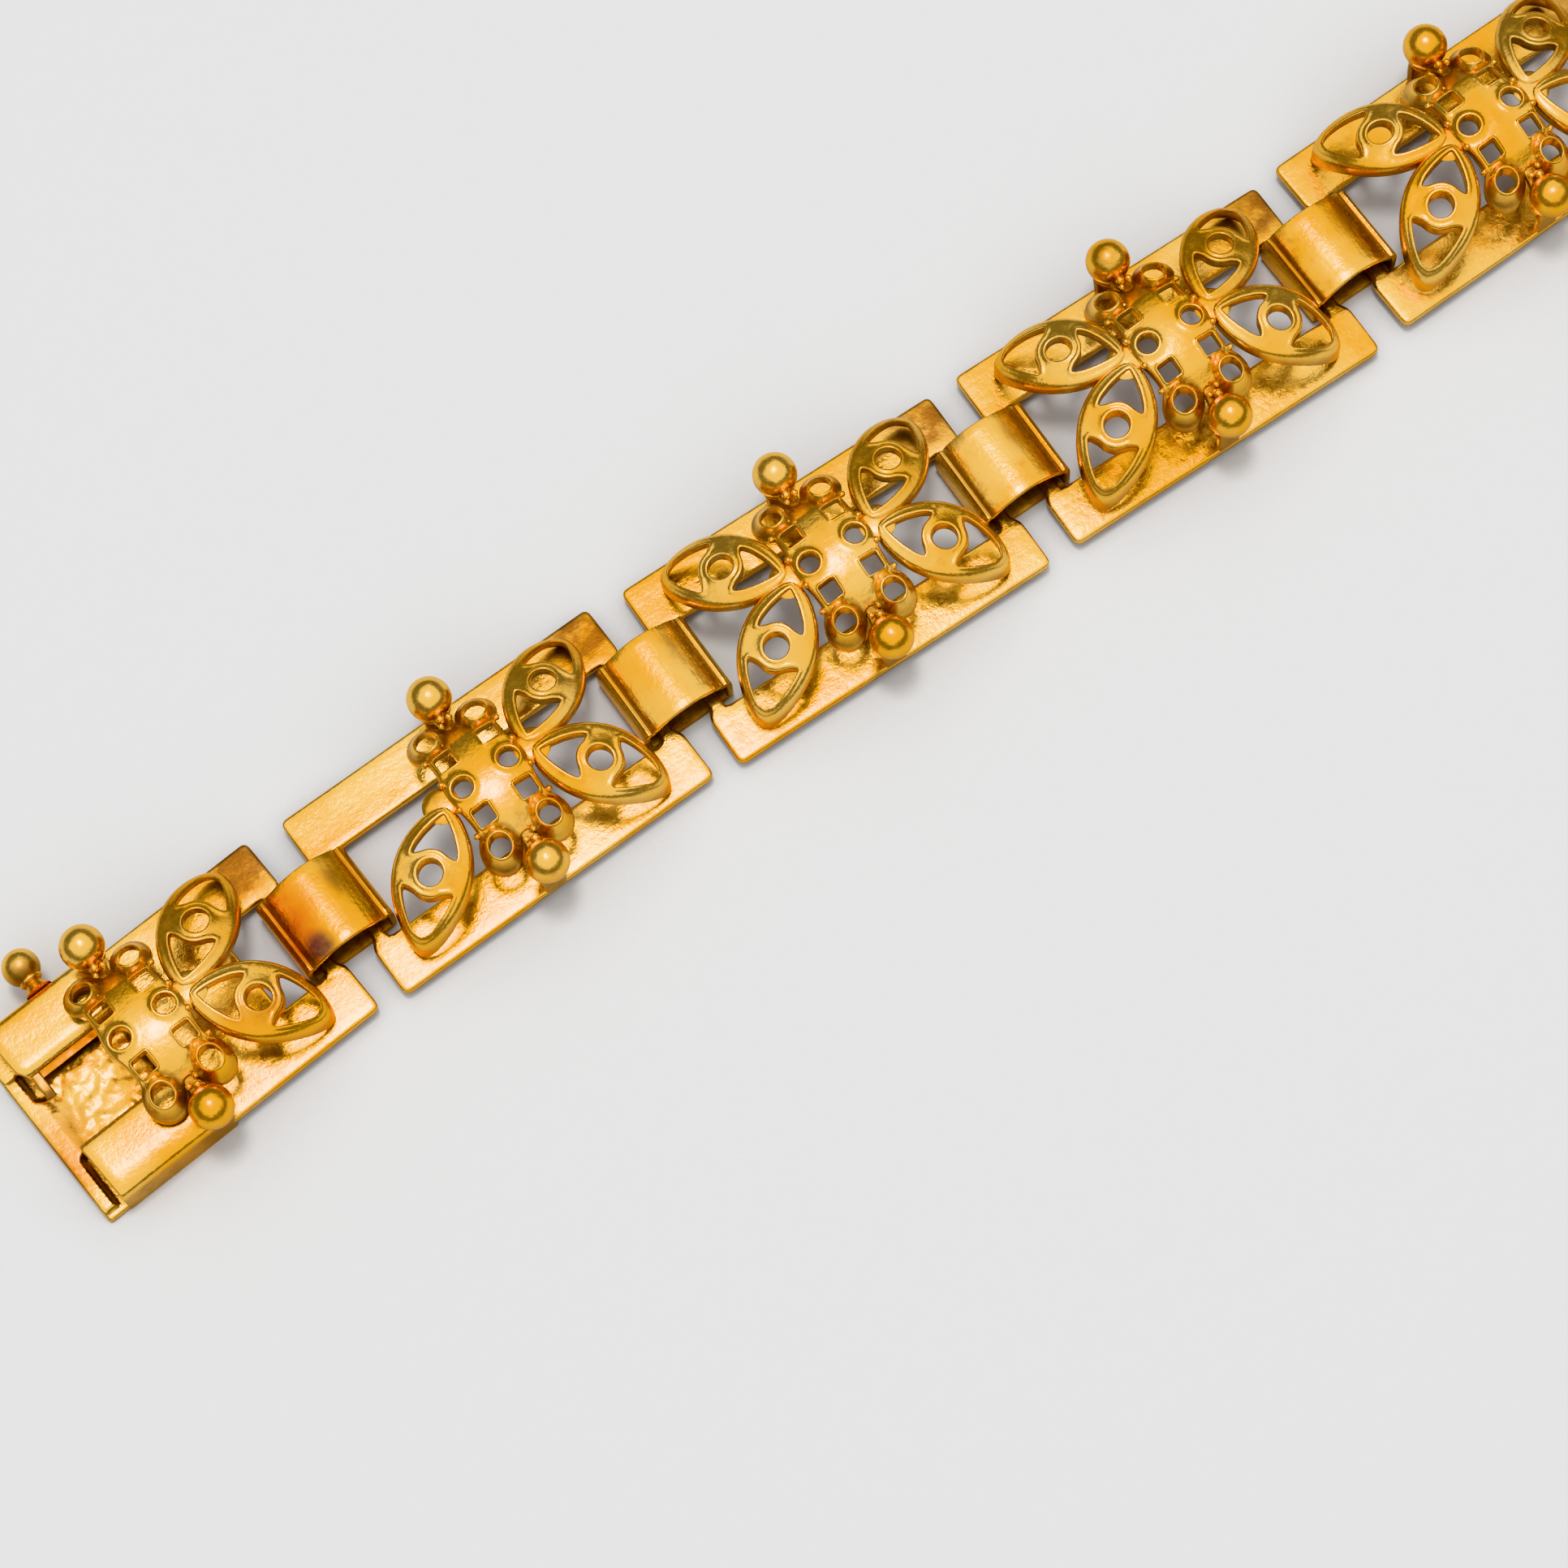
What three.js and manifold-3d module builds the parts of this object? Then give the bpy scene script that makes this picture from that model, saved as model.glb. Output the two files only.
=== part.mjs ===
// A link bracelet of gilt brass, lying open and face up in one straight run along +X.
// Nine pierced panels, the flat bands that join them, a box clasp and its tongue.
import * as THREE from 'three';
import { mergeVertices } from 'three/addons/utils/BufferGeometryUtils.js';
import Module from 'manifold-3d';

const wasm = await Module();
wasm.setup();

// Plates, in millimetres. A link's own frame has its origin on the top face of its plate,
// at the middle of a full panel, with +X along the bracelet.
const PLATE_LENGTH = 16.0;
const PLATE_WIDTH = 9.4;
const PLATE_THICK = 0.5;
const PLATE_CORNER = 0.35;
const WINDOW_WIDTH = 4.45;
const END_BAR = 0.62;
const NOTCH_WIDTH = 4.7;
const NOTCH_DEPTH = 0.26;
const NOTCH_SLANT = 0.4;
const LINK_GAP = 1.4;
const PANEL_COUNT = 9;

// The band that joins two links: a closed loop of strip with an arched top.
const BAND_WIDTH = 3.8;
const BAND_SHEET = 0.28;
const BAND_REACH = 2.25;
const BAND_CREASE_X = 1.86;
const BAND_CREASE_Z = 0.95;
const BAND_CROWN_Z = 1.62;
const BAND_BOTTOM_Z = -0.93;
const BAND_SHOULDER = 0.4;
const BAND_FOOT = 0.3;
const BAND_ARCH_STEPS = 4;

// The stamped ornament that stands on each plate.
const ORNAMENT_SHIFT = -0.1;
const DOME_HALF_X = 1.95;
const DOME_WAIST_X = 1.78;
const DOME_MIDDLE_Y = 3.0;
const DOME_TOP = 3.6;
const DOME_BOW_X = 0.07;
const DOME_BOW_Y = 0.095;
const DOME_SHEET = 0.45;
const CUP_X = 1.22;
const CUP_Y = 2.75;
const CUP_RADIUS = 0.7;
const SQUARE_X = 1.08;
const SQUARE_Y = 1.48;
const SQUARE_HALF = 0.46;
const SQUARE_TWIST = 4;
const BALL_RADIUS = 0.97;
const BALL_Y = 4.45;
const BALL_Z = 2.65;
const TAB_WIDTH = 0.9;
const TAB_SHEET = 0.45;
const ROUND_SIDES = 10;

// One petal, measured from its root beside the dome to its tip near the plate's corner.
const PETAL_ROOT_X = 2.1;
const PETAL_ROOT_Y = 0.15;
const PETAL_LENGTH = 5.75;
const PETAL_TURN = 42.5;
const PETAL_HALF_WIDTH = 1.62;
const PETAL_FULLNESS = 0.72;
const PETAL_STEPS = 6;
const PETAL_RIM = 0.36;
const PETAL_ROOT_TOP = 3.25;
const PETAL_TIP_TOP = 0.85;
const PETAL_FALL = 2.4;
const PETAL_SHEET = 0.5;
const EYE_AT = 3.1;
const EYE_NEAR = 0.72;
const EYE_FAR = 0.92;
const NECK_RADIUS = 0.8;
const NECK_SIDES = 6;

// The box half of the clasp. Its plate is shorter than a panel's at the open end.
const BOX_END_X = -6.2;
const BOX_WALL_X = 0.4;
const BOX_TOP = 1.2;
const BOX_SHEET = 0.4;
const FLAP_END_X = -5.3;
const SLOT_FAR_Y = 1.9;
const SLOT_NEAR_Y = -1.75;
const SLOT_END_X = -0.8;
const LIP_WIDTH = 0.6;
const LIP_RISE = 0.35;
const LIP_FAR_Y = 2.8;
const LIP_NEAR_Y = -4.35;
const BOX_WINDOW_X = 4.7;
const STUD_X = -2.6;
const STUD_Y = 6.0;
const STUD_Z = 0.95;
const STUD_RADIUS = 0.82;
const STUD_NECK = 0.36;

// The tongue half of the clasp, a spring leaf folded back on itself.
const TONGUE_BASE_X = -4.7;
const TONGUE_TIP_X = 2.0;
const TONGUE_WIDTH = 7.2;
const TONGUE_SHEET = 0.35;
const TONGUE_RISE = 1.0;
const THUMB_WIDTH = 3.0;
const THUMB_TOP = 1.7;

// How each link lies: its turn in degrees, and how far it is slipped sideways from the
// link before it. Links past the end of the table lie in line with the last row.
const LAY = [
  { turn: 6.0, slip: 0.0 },
  { turn: 3.0, slip: -0.2 },
  { turn: 0.3, slip: -0.2 },
  { turn: 0.3, slip: 0.1 },
  { turn: 2.4, slip: 0.2 },
];
const BROKEN_PANEL = 1;

const HALF_LENGTH = PLATE_LENGTH / 2;
const HALF_WIDTH = PLATE_WIDTH / 2;
const WINDOW_END = HALF_LENGTH - NOTCH_DEPTH - END_BAR;

const GOLD = { color: 0xe2a23a, metalness: 1.0, roughness: 0.3 };
const WORN_GOLD = { color: 0xd9a04a, metalness: 1.0, roughness: 0.38 };
const CLASP_GOLD = { color: 0xe09a35, metalness: 1.0, roughness: 0.33 };

function toSolid(geometry) {
  const bare = geometry.index ? geometry.toNonIndexed() : geometry.clone();
  bare.deleteAttribute('normal');
  bare.deleteAttribute('uv');
  const merged = mergeVertices(bare, 1e-4);
  return new wasm.Manifold(new wasm.Mesh({
    numProp: 3,
    vertProperties: new Float32Array(merged.attributes.position.array),
    triVerts: new Uint32Array(merged.index.array),
  }));
}

function toMesh(name, body, finish) {
  const { numProp, vertProperties, triVerts } = body.getMesh();
  const corners = new Float32Array((vertProperties.length / numProp) * 3);
  for (let i = 0; i < corners.length / 3; i += 1) {
    corners.set(vertProperties.subarray(i * numProp, i * numProp + 3), i * 3);
  }
  const geometry = new THREE.BufferGeometry();
  geometry.setAttribute('position', new THREE.BufferAttribute(corners, 3));
  geometry.setIndex(new THREE.BufferAttribute(new Uint32Array(triVerts), 1));
  geometry.computeVertexNormals();
  const mesh = new THREE.Mesh(geometry, new THREE.MeshStandardMaterial(finish));
  mesh.name = name;
  return mesh;
}

function join(bodies) {
  return bodies.reduce((whole, body) => whole.add(body));
}

function box(x0, x1, y0, y1, z0, z1) {
  const block = new THREE.BoxGeometry(x1 - x0, y1 - y0, z1 - z0);
  block.translate((x0 + x1) / 2, (y0 + y1) / 2, (z0 + z1) / 2);
  return toSolid(block);
}

function ball(radius, x, y, z) {
  const sphere = new THREE.SphereGeometry(radius, ROUND_SIDES, ROUND_SIDES / 2);
  sphere.rotateX(Math.PI / 2);
  sphere.translate(x, y, z);
  return toSolid(sphere);
}

// An upright drum between two heights.
function drum(radius, sides, x, y, z0, z1) {
  const cylinder = new THREE.CylinderGeometry(radius, radius, z1 - z0, sides);
  cylinder.rotateX(Math.PI / 2);
  cylinder.translate(x, y, (z0 + z1) / 2);
  return toSolid(cylinder);
}

// A flat outline given thickness between two curved heights.
function bentSheet(shape, topAt, bottomAt) {
  const sheet = new THREE.ExtrudeGeometry(shape, { depth: 1, bevelEnabled: false });
  const spots = sheet.attributes.position;
  for (let i = 0; i < spots.count; i += 1) {
    const height = spots.getZ(i) > 0.5 ? topAt : bottomAt;
    spots.setZ(i, height(spots.getX(i), spots.getY(i)));
  }
  return sheet;
}

function outline(points) {
  const corners = points.map(([x, y]) => new THREE.Vector2(x, y));
  return new THREE.Shape(THREE.ShapeUtils.isClockWise(corners) ? corners.reverse() : corners);
}

// A hole runs round the other way from the outline that it is cut in.
function opening(points) {
  const corners = points.map(([x, y]) => new THREE.Vector2(x, y));
  return new THREE.Path(THREE.ShapeUtils.isClockWise(corners) ? corners : corners.reverse());
}

// A profile in the XZ plane carried across the bracelet between two Y places.
function acrossStrip(shape, y0, y1) {
  const bar = new THREE.ExtrudeGeometry(shape, { depth: y1 - y0, bevelEnabled: false });
  bar.rotateX(Math.PI / 2);
  bar.translate(0, y1, 0);
  return toSolid(bar);
}

// Half of one plate end: corner, short edge and notch, from the long edge to the middle.
function plateEnd(endX) {
  const side = Math.sign(endX);
  const notchHalf = NOTCH_WIDTH / 2;
  return [
    [endX - side * PLATE_CORNER, HALF_WIDTH],
    [endX, HALF_WIDTH - PLATE_CORNER],
    [endX, notchHalf],
    [endX - side * NOTCH_DEPTH, notchHalf - NOTCH_SLANT],
  ];
}

// The whole end of a plate from +Y round to -Y.
function fullEnd(endX) {
  const half = plateEnd(endX);
  return [...half, ...half.map(([x, y]) => [x, -y]).reverse()];
}

function windowHole(x0, x1) {
  const half = WINDOW_WIDTH / 2;
  return opening([[x0, -half], [x1, -half], [x1, half], [x0, half]]);
}

function plate(ends, windowStart, windowEnd) {
  const shape = outline(ends);
  shape.holes.push(windowHole(windowStart, windowEnd));
  const sheet = new THREE.ExtrudeGeometry(shape, { depth: PLATE_THICK, bevelEnabled: false });
  sheet.translate(0, 0, -PLATE_THICK);
  return toSolid(sheet);
}

function domeTop(x, y) {
  return DOME_TOP - DOME_BOW_X * x * x - DOME_BOW_Y * y * y;
}

// One quarter of the dome's edge, from its side round the cup to the middle of its end.
function domeQuarter() {
  const round = [0, 1, 2, 3].map((step) => THREE.MathUtils.degToRad(step * 45));
  const cup = round.map((a) => [CUP_X + CUP_RADIUS * Math.cos(a), CUP_Y + CUP_RADIUS * Math.sin(a)]);
  return [[DOME_WAIST_X, CUP_Y * 0.25], [DOME_WAIST_X, CUP_Y - CUP_RADIUS], ...cup];
}

// The dome is a thin bowed sheet with a cup in each corner and four squares cut through.
function dome() {
  const quarter = domeQuarter();
  const back = [...quarter].reverse();
  const shape = outline([
    [DOME_HALF_X, 0], ...quarter, [0, DOME_MIDDLE_Y], ...back.map(([x, y]) => [-x, y]),
    [-DOME_HALF_X, 0], ...quarter.map(([x, y]) => [-x, -y]), [0, -DOME_MIDDLE_Y],
    ...back.map(([x, y]) => [x, -y]),
  ]);
  for (const sx of [-1, 1]) {
    for (const sy of [-1, 1]) {
      const twist = sx * sy * SQUARE_TWIST;
      const turns = [45, 135, 225, 315].map((a) => THREE.MathUtils.degToRad(a + twist));
      const half = SQUARE_HALF * Math.SQRT2;
      shape.holes.push(opening(turns.map((a) => [
        sx * SQUARE_X + half * Math.cos(a),
        sy * SQUARE_Y + half * Math.sin(a),
      ])));
    }
  }
  const sheet = bentSheet(shape, domeTop, (x, y) => domeTop(x, y) - DOME_SHEET);
  sheet.translate(ORNAMENT_SHIFT, 0, 0);
  return toSolid(sheet);
}

// A ball on the tab that comes down from the dome to the plate's long edge.
function ballAndTab(side) {
  const seat = BALL_Z - BALL_RADIUS * 0.7;
  const inner = DOME_MIDDLE_Y - 0.25;
  const foot = HALF_WIDTH - TAB_SHEET;
  const tab = outline([
    [inner, seat + 0.3],
    [foot, seat - TAB_SHEET],
    [foot, -PLATE_THICK / 2],
    [HALF_WIDTH - 0.02, -PLATE_THICK / 2],
    [HALF_WIDTH - 0.02, seat],
    [inner, seat + 0.8],
  ]);
  const strip = new THREE.ExtrudeGeometry(tab, { depth: TAB_WIDTH, bevelEnabled: false });
  strip.rotateX(Math.PI / 2);
  strip.rotateZ(side * Math.PI / 2);
  strip.translate(ORNAMENT_SHIFT - side * TAB_WIDTH / 2, 0, 0);
  return [toSolid(strip), ball(BALL_RADIUS, ORNAMENT_SHIFT, side * BALL_Y, BALL_Z)];
}

function petalHalfWidth(u, inset) {
  const t = (u - inset) / (PETAL_LENGTH - 2 * inset);
  const full = PETAL_HALF_WIDTH - inset;
  return full * Math.sin(Math.PI * Math.min(Math.max(t, 0), 1)) ** PETAL_FULLNESS;
}

function petalOutline() {
  const far = [];
  const near = [];
  for (let i = 1; i < PETAL_STEPS; i += 1) {
    const u = (PETAL_LENGTH * (1 - Math.cos((Math.PI * i) / PETAL_STEPS))) / 2;
    const v = petalHalfWidth(u, 0);
    far.push([u, v]);
    near.unshift([u, -v]);
  }
  return outline([[0, 0], ...near.reverse(), [PETAL_LENGTH, 0], ...far.reverse()]);
}

// The root opening is a drop whose wide end is cut by the eye's ring, and the tip
// opening is the same the other way round. `side` is -1 for the root and 1 for the tip.
function petalOpening(side) {
  const end = side < 0 ? PETAL_RIM : PETAL_LENGTH - PETAL_RIM;
  const ring = side < 0 ? EYE_NEAR : EYE_FAR;
  const mouth = EYE_AT + side * ring * 0.55;
  const middle = (end + mouth) / 2;
  const wide = petalHalfWidth(mouth, PETAL_RIM);
  return opening([
    [end, 0],
    [middle, petalHalfWidth(middle, PETAL_RIM)],
    [mouth, wide],
    [EYE_AT + side * ring, 0],
    [mouth, -wide],
    [middle, -petalHalfWidth(middle, PETAL_RIM)],
  ]);
}

function petal(sx, sy) {
  const shape = petalOutline();
  shape.holes.push(petalOpening(-1), petalOpening(1));
  const top = (u) => {
    const t = Math.min(Math.max(u / PETAL_LENGTH, 0), 1);
    return PETAL_TIP_TOP + (PETAL_ROOT_TOP - PETAL_TIP_TOP) * (1 - t ** PETAL_FALL);
  };
  const skirt = PETAL_TIP_TOP + 0.1 - PETAL_SHEET;
  const bottom = (u) => top(u) - PETAL_SHEET - skirt * (u / PETAL_LENGTH) ** 4;
  const leaf = bentSheet(shape, top, bottom);
  const heading = THREE.MathUtils.degToRad(PETAL_TURN) * sy;
  leaf.rotateZ(sx > 0 ? heading : Math.PI - heading);
  leaf.translate(ORNAMENT_SHIFT + sx * PETAL_ROOT_X, sy * PETAL_ROOT_Y, 0);
  return toSolid(leaf);
}

function neck(sx) {
  const x = ORNAMENT_SHIFT + sx * PETAL_ROOT_X;
  return drum(NECK_RADIUS, NECK_SIDES, x, 0, PETAL_ROOT_TOP - 0.85, PETAL_ROOT_TOP - 0.06);
}

function ornament(petalCorners) {
  const bodies = [dome(), ...ballAndTab(-1), ...ballAndTab(1)];
  for (const sx of new Set(petalCorners.map(([x]) => x))) {
    bodies.push(neck(sx));
  }
  for (const [sx, sy] of petalCorners) {
    bodies.push(petal(sx, sy));
  }
  return join(bodies);
}

const RIGHT_PETALS = [[1, 1], [1, -1]];
const ALL_PETALS = [...RIGHT_PETALS, [-1, 1], [-1, -1]];

// The broken panel has lost the petal at its far left corner.
function panel(broken) {
  const corners = broken ? ALL_PETALS.filter(([sx, sy]) => sx > 0 || sy < 0) : ALL_PETALS;
  const ends = [...fullEnd(HALF_LENGTH), ...fullEnd(-HALF_LENGTH).reverse()];
  return plate(ends, -WINDOW_END, WINDOW_END).add(ornament(corners));
}

// One side of the band's section from the middle of the arch down to the middle of the foot.
function bandHalf(inset) {
  const creaseX = BAND_CREASE_X - inset;
  const creaseZ = BAND_CREASE_Z - inset;
  const crownZ = BAND_CROWN_Z - inset;
  const reach = BAND_REACH - inset;
  const bottom = BAND_BOTTOM_Z + inset;
  const half = [];
  for (let i = 1; i <= BAND_ARCH_STEPS; i += 1) {
    const t = i / BAND_ARCH_STEPS;
    half.push([creaseX * t, crownZ - (crownZ - creaseZ) * t * t]);
  }
  const shoulder = BAND_SHOULDER - inset * 0.4;
  half.push([reach - shoulder * 0.3, creaseZ - shoulder * 0.3]);
  half.push([reach, creaseZ - shoulder]);
  half.push([reach, bottom + BAND_FOOT]);
  half.push([reach - BAND_FOOT, bottom]);
  return half;
}

function bandLoop(inset) {
  const half = bandHalf(inset);
  const mirrored = half.map(([x, z]) => [-x, z]).reverse();
  return [[0, BAND_CROWN_Z - inset], ...half, ...mirrored];
}

function connector() {
  const shape = outline(bandLoop(0));
  shape.holes.push(opening(bandLoop(BAND_SHEET)));
  return acrossStrip(shape, -BAND_WIDTH / 2, BAND_WIDTH / 2);
}

// The box: a floor, three walls and two flaps above them, with a slot between the flaps.
function claspShell() {
  const bottom = BAND_BOTTOM_Z;
  const floorTop = bottom + BOX_SHEET;
  const inner = HALF_WIDTH - BOX_SHEET;
  const block = box(FLAP_END_X, BOX_WALL_X, -HALF_WIDTH, HALF_WIDTH, bottom, BOX_TOP);
  const hollow = box(FLAP_END_X - 1, BOX_WALL_X - BOX_SHEET, -inner, inner, floorTop, BOX_TOP - BOX_SHEET);
  const slot = box(FLAP_END_X - 1, SLOT_END_X, SLOT_NEAR_Y, SLOT_FAR_Y, floorTop, BOX_TOP + 1);
  const sill = box(BOX_END_X, FLAP_END_X + BOX_SHEET, LIP_NEAR_Y, LIP_FAR_Y, bottom, floorTop);
  const lipTop = floorTop + LIP_RISE;
  const lip = box(BOX_END_X, BOX_END_X + LIP_WIDTH, LIP_NEAR_Y, LIP_FAR_Y, bottom, lipTop);
  return block.subtract(hollow).subtract(slot).add(sill).add(lip);
}

// The little ball on a neck that a safety catch is hooked over.
function stud() {
  const reach = STUD_Y - HALF_WIDTH + 0.3;
  const post = new THREE.CylinderGeometry(STUD_NECK, STUD_NECK, reach, 8);
  post.translate(STUD_X, STUD_Y - reach / 2, STUD_Z);
  return toSolid(post).add(ball(STUD_RADIUS, STUD_X, STUD_Y, STUD_Z));
}

function claspBox() {
  const start = BOX_WALL_X - BOX_SHEET;
  const ends = [...fullEnd(HALF_LENGTH), [start, -HALF_WIDTH], [start, HALF_WIDTH]];
  const base = plate(ends, BOX_WINDOW_X, WINDOW_END);
  return join([base, claspShell(), stud(), ornament(RIGHT_PETALS)]);
}

// The tongue: a short plate with an end bar, and a leaf that runs out and folds back.
function claspTongue() {
  const ends = [[TONGUE_BASE_X, HALF_WIDTH], [TONGUE_BASE_X, -HALF_WIDTH], ...fullEnd(-HALF_LENGTH).reverse()];
  const base = plate(ends, -WINDOW_END, TONGUE_BASE_X - 1);
  const low = -PLATE_THICK;
  const leaf = outline([
    [TONGUE_BASE_X - 0.5, low],
    [TONGUE_TIP_X - 0.3, low],
    [TONGUE_TIP_X, low + TONGUE_SHEET],
    [TONGUE_TIP_X - 0.3, low + 2 * TONGUE_SHEET],
    [TONGUE_BASE_X + 1, low + TONGUE_RISE + TONGUE_SHEET],
    [TONGUE_BASE_X + 1, low + TONGUE_RISE],
    [TONGUE_TIP_X - 1.2, low + TONGUE_SHEET],
    [TONGUE_BASE_X - 0.5, low + TONGUE_SHEET],
  ]);
  const half = TONGUE_WIDTH / 2;
  const thumbX = TONGUE_BASE_X + 1;
  const thumb = box(thumbX, thumbX + 0.5, -THUMB_WIDTH / 2, THUMB_WIDTH / 2, low + TONGUE_RISE, THUMB_TOP);
  return join([base, acrossStrip(leaf, -half, half), thumb]);
}

// Where the links lie, each carried on from the right end of the one before it.
function linkPlaces(count) {
  const places = [];
  let end = new THREE.Vector2(HALF_LENGTH, 0);
  for (let i = 0; i < count; i += 1) {
    const row = LAY[Math.min(i, LAY.length - 1)];
    const turn = THREE.MathUtils.degToRad(row.turn);
    const along = new THREE.Vector2(Math.cos(turn), Math.sin(turn));
    const aside = new THREE.Vector2(-along.y, along.x);
    const slip = i < LAY.length ? row.slip : 0;
    const start = end.clone();
    if (i > 0) {
      start.addScaledVector(along, LINK_GAP).addScaledVector(aside, slip);
    } else {
      start.addScaledVector(along, -PLATE_LENGTH);
    }
    const middle = start.clone().addScaledVector(along, HALF_LENGTH);
    const next = middle.clone().addScaledVector(along, HALF_LENGTH);
    places.push({ middle, turn, start, next });
    end = next;
  }
  return places;
}

function lay(mesh, x, y, turn) {
  mesh.position.set(x, y, 0);
  mesh.rotation.z = turn;
  return mesh;
}

const bracelet = new THREE.Group();
const places = linkPlaces(PANEL_COUNT + 2);
places.forEach(({ middle, turn }, i) => {
  let link = toMesh(`panel_${i}`, panel(i === BROKEN_PANEL), GOLD);
  if (i === 0) {
    link = toMesh('clasp_box', claspBox(), CLASP_GOLD);
  } else if (i === places.length - 1) {
    link = toMesh('clasp_tongue', claspTongue(), CLASP_GOLD);
  }
  bracelet.add(lay(link, middle.x, middle.y, turn));
});
places.slice(1).forEach((place, i) => {
  const before = places[i];
  const x = (before.next.x + place.start.x) / 2;
  const y = (before.next.y + place.start.y) / 2;
  const band = toMesh(`connector_${i + 1}`, connector(), WORN_GOLD);
  bracelet.add(lay(band, x, y, (before.turn + place.turn) / 2));
});

// The bracelet rests on z = 0 with the middle of its box on the origin.
bracelet.updateMatrixWorld(true);
const extent = new THREE.Box3().setFromObject(bracelet, true);
const centre = extent.getCenter(new THREE.Vector3());
bracelet.position.set(-centre.x, -centre.y, -extent.min.z);

export default bracelet;
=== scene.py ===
"""A gilt link bracelet lying open: stamped panels, arched bands, a box clasp and its tongue."""

import math

import bpy
import numpy as np
from bpy.props import FloatProperty, FloatVectorProperty, PointerProperty
from bpy.types import Operator, Panel, PropertyGroup
from mathutils import Matrix, Vector
from mathutils.geometry import delaunay_2d_cdt


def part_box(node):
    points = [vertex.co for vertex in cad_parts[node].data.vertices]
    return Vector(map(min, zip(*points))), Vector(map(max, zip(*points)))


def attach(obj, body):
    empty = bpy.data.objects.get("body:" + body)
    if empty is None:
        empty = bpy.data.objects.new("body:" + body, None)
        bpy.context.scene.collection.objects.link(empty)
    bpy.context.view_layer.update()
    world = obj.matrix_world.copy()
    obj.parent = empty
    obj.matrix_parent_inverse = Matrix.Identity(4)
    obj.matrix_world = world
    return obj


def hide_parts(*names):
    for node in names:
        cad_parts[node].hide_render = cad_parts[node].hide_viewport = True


bl_info = {
    "name": "Link Bracelet",
    "version": (1, 0, 0),
    "blender": (4, 5, 0),
    "location": "3D View > Sidebar > Bracelet",
    "description": "Dresses a link bracelet with stamped panels, arched bands and a box clasp",
    "category": "Object",
}

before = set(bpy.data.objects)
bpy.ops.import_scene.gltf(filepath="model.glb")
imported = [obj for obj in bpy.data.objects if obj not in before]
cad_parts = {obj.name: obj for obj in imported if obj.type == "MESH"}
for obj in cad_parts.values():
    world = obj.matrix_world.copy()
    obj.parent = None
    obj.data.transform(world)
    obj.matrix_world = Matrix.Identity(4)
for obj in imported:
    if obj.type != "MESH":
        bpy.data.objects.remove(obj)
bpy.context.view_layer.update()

MM = 0.001

# Every shape below is in millimetres in its link's own frame: the origin is on the top face
# of the plate at the middle of a full panel, with +X along the bracelet.
PLATE_LENGTH = 16.0
PLATE_WIDTH = 9.4
PLATE_THICK = 0.5
PLATE_TOP = 0.93
HALF_WIDTH = PLATE_WIDTH / 2
LINK_GAP = 1.4
PANEL_COUNT = 9
BROKEN_PANEL = 1
ORNAMENT_SHIFT = -0.1
WINDOW_HALF = 2.225
WINDOW_END = 7.12
STAMPED_SHEET = 0.3

# The band that joins two links, and the balls on a link's long edges.
BAND_WIDTH = 3.8
BAND_SHEET = 0.28
BAND_CROWN = 1.62
BALL_Y = 4.45
BALL_Z = 2.65

# The box half of the clasp.
BOX_END = -6.2
BOX_FLOOR = -0.53
BOX_UNDERSIDE = -0.91
BOX_SHEET = 0.36
SILL_RISE = 0.27
SOLDER_LUMPS = 260
STUD_AT = (-2.6, 6.0, 0.95)
STUD_RADIUS = 0.82

# The painted shade on the back of a sheet, from 0 for clean gilding to 1 for brown.
BACK_SHADE = 0.9

# How each link lies: its turn in degrees, and its slip sideways from the link before it.
LAY = ((6.0, 0.0), (3.0, -0.2), (0.3, -0.2), (0.3, 0.1), (2.4, 0.2))

# How the stamped ornament of each link sits: tilt about the bracelet's length, tilt across
# it and turn, in degrees, and the slip along it in millimetres. It tilts about a point at
# the seat height over the plate.
SEAT_HEIGHT = 1.5
SEATING = {
    0: (0.0, 0.0, 0.4, 0.0),
    1: (-1.6, 0.4, -1.0, 0.0),
    2: (0.4, -1.3, 0.0, 0.08),
    3: (-0.5, 0.3, 0.8, 0.05),
    4: (0.3, 0.5, -0.6, -0.05),
    5: (0.8, -0.3, 0.5, 0.05),
    6: (-0.6, 0.4, -0.8, 0.0),
    7: (0.5, 0.5, 0.6, -0.05),
    8: (-0.4, -0.5, -0.5, 0.05),
    9: (0.6, 0.2, 0.9, 0.0),
}


class BraceletSizes(PropertyGroup):
    """Sizes of the stamped work, on plates whose size comes from the frame."""

    ball_radius: FloatProperty(
        name="Ball Radius", description="Radius of the balls on the long edges",
        default=0.97 * MM, min=0.5 * MM, max=1.0 * MM, unit='LENGTH', precision=5)
    lip_height: FloatProperty(
        name="Lip Height", description="How far the roll round a pierced hole stands up",
        default=0.06 * MM, min=0.0, max=0.15 * MM, unit='LENGTH', precision=5)
    petal_crown: FloatProperty(
        name="Petal Crown", description="How far the middle of a petal stands above its sides",
        default=0.3 * MM, min=0.0, max=0.5 * MM, unit='LENGTH', precision=5)
    band_shoulder: FloatProperty(
        name="Band Shoulder", description="Depth of the crease inside each shoulder of a band",
        default=0.07 * MM, min=0.0, max=0.2 * MM, unit='LENGTH', precision=5)


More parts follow.
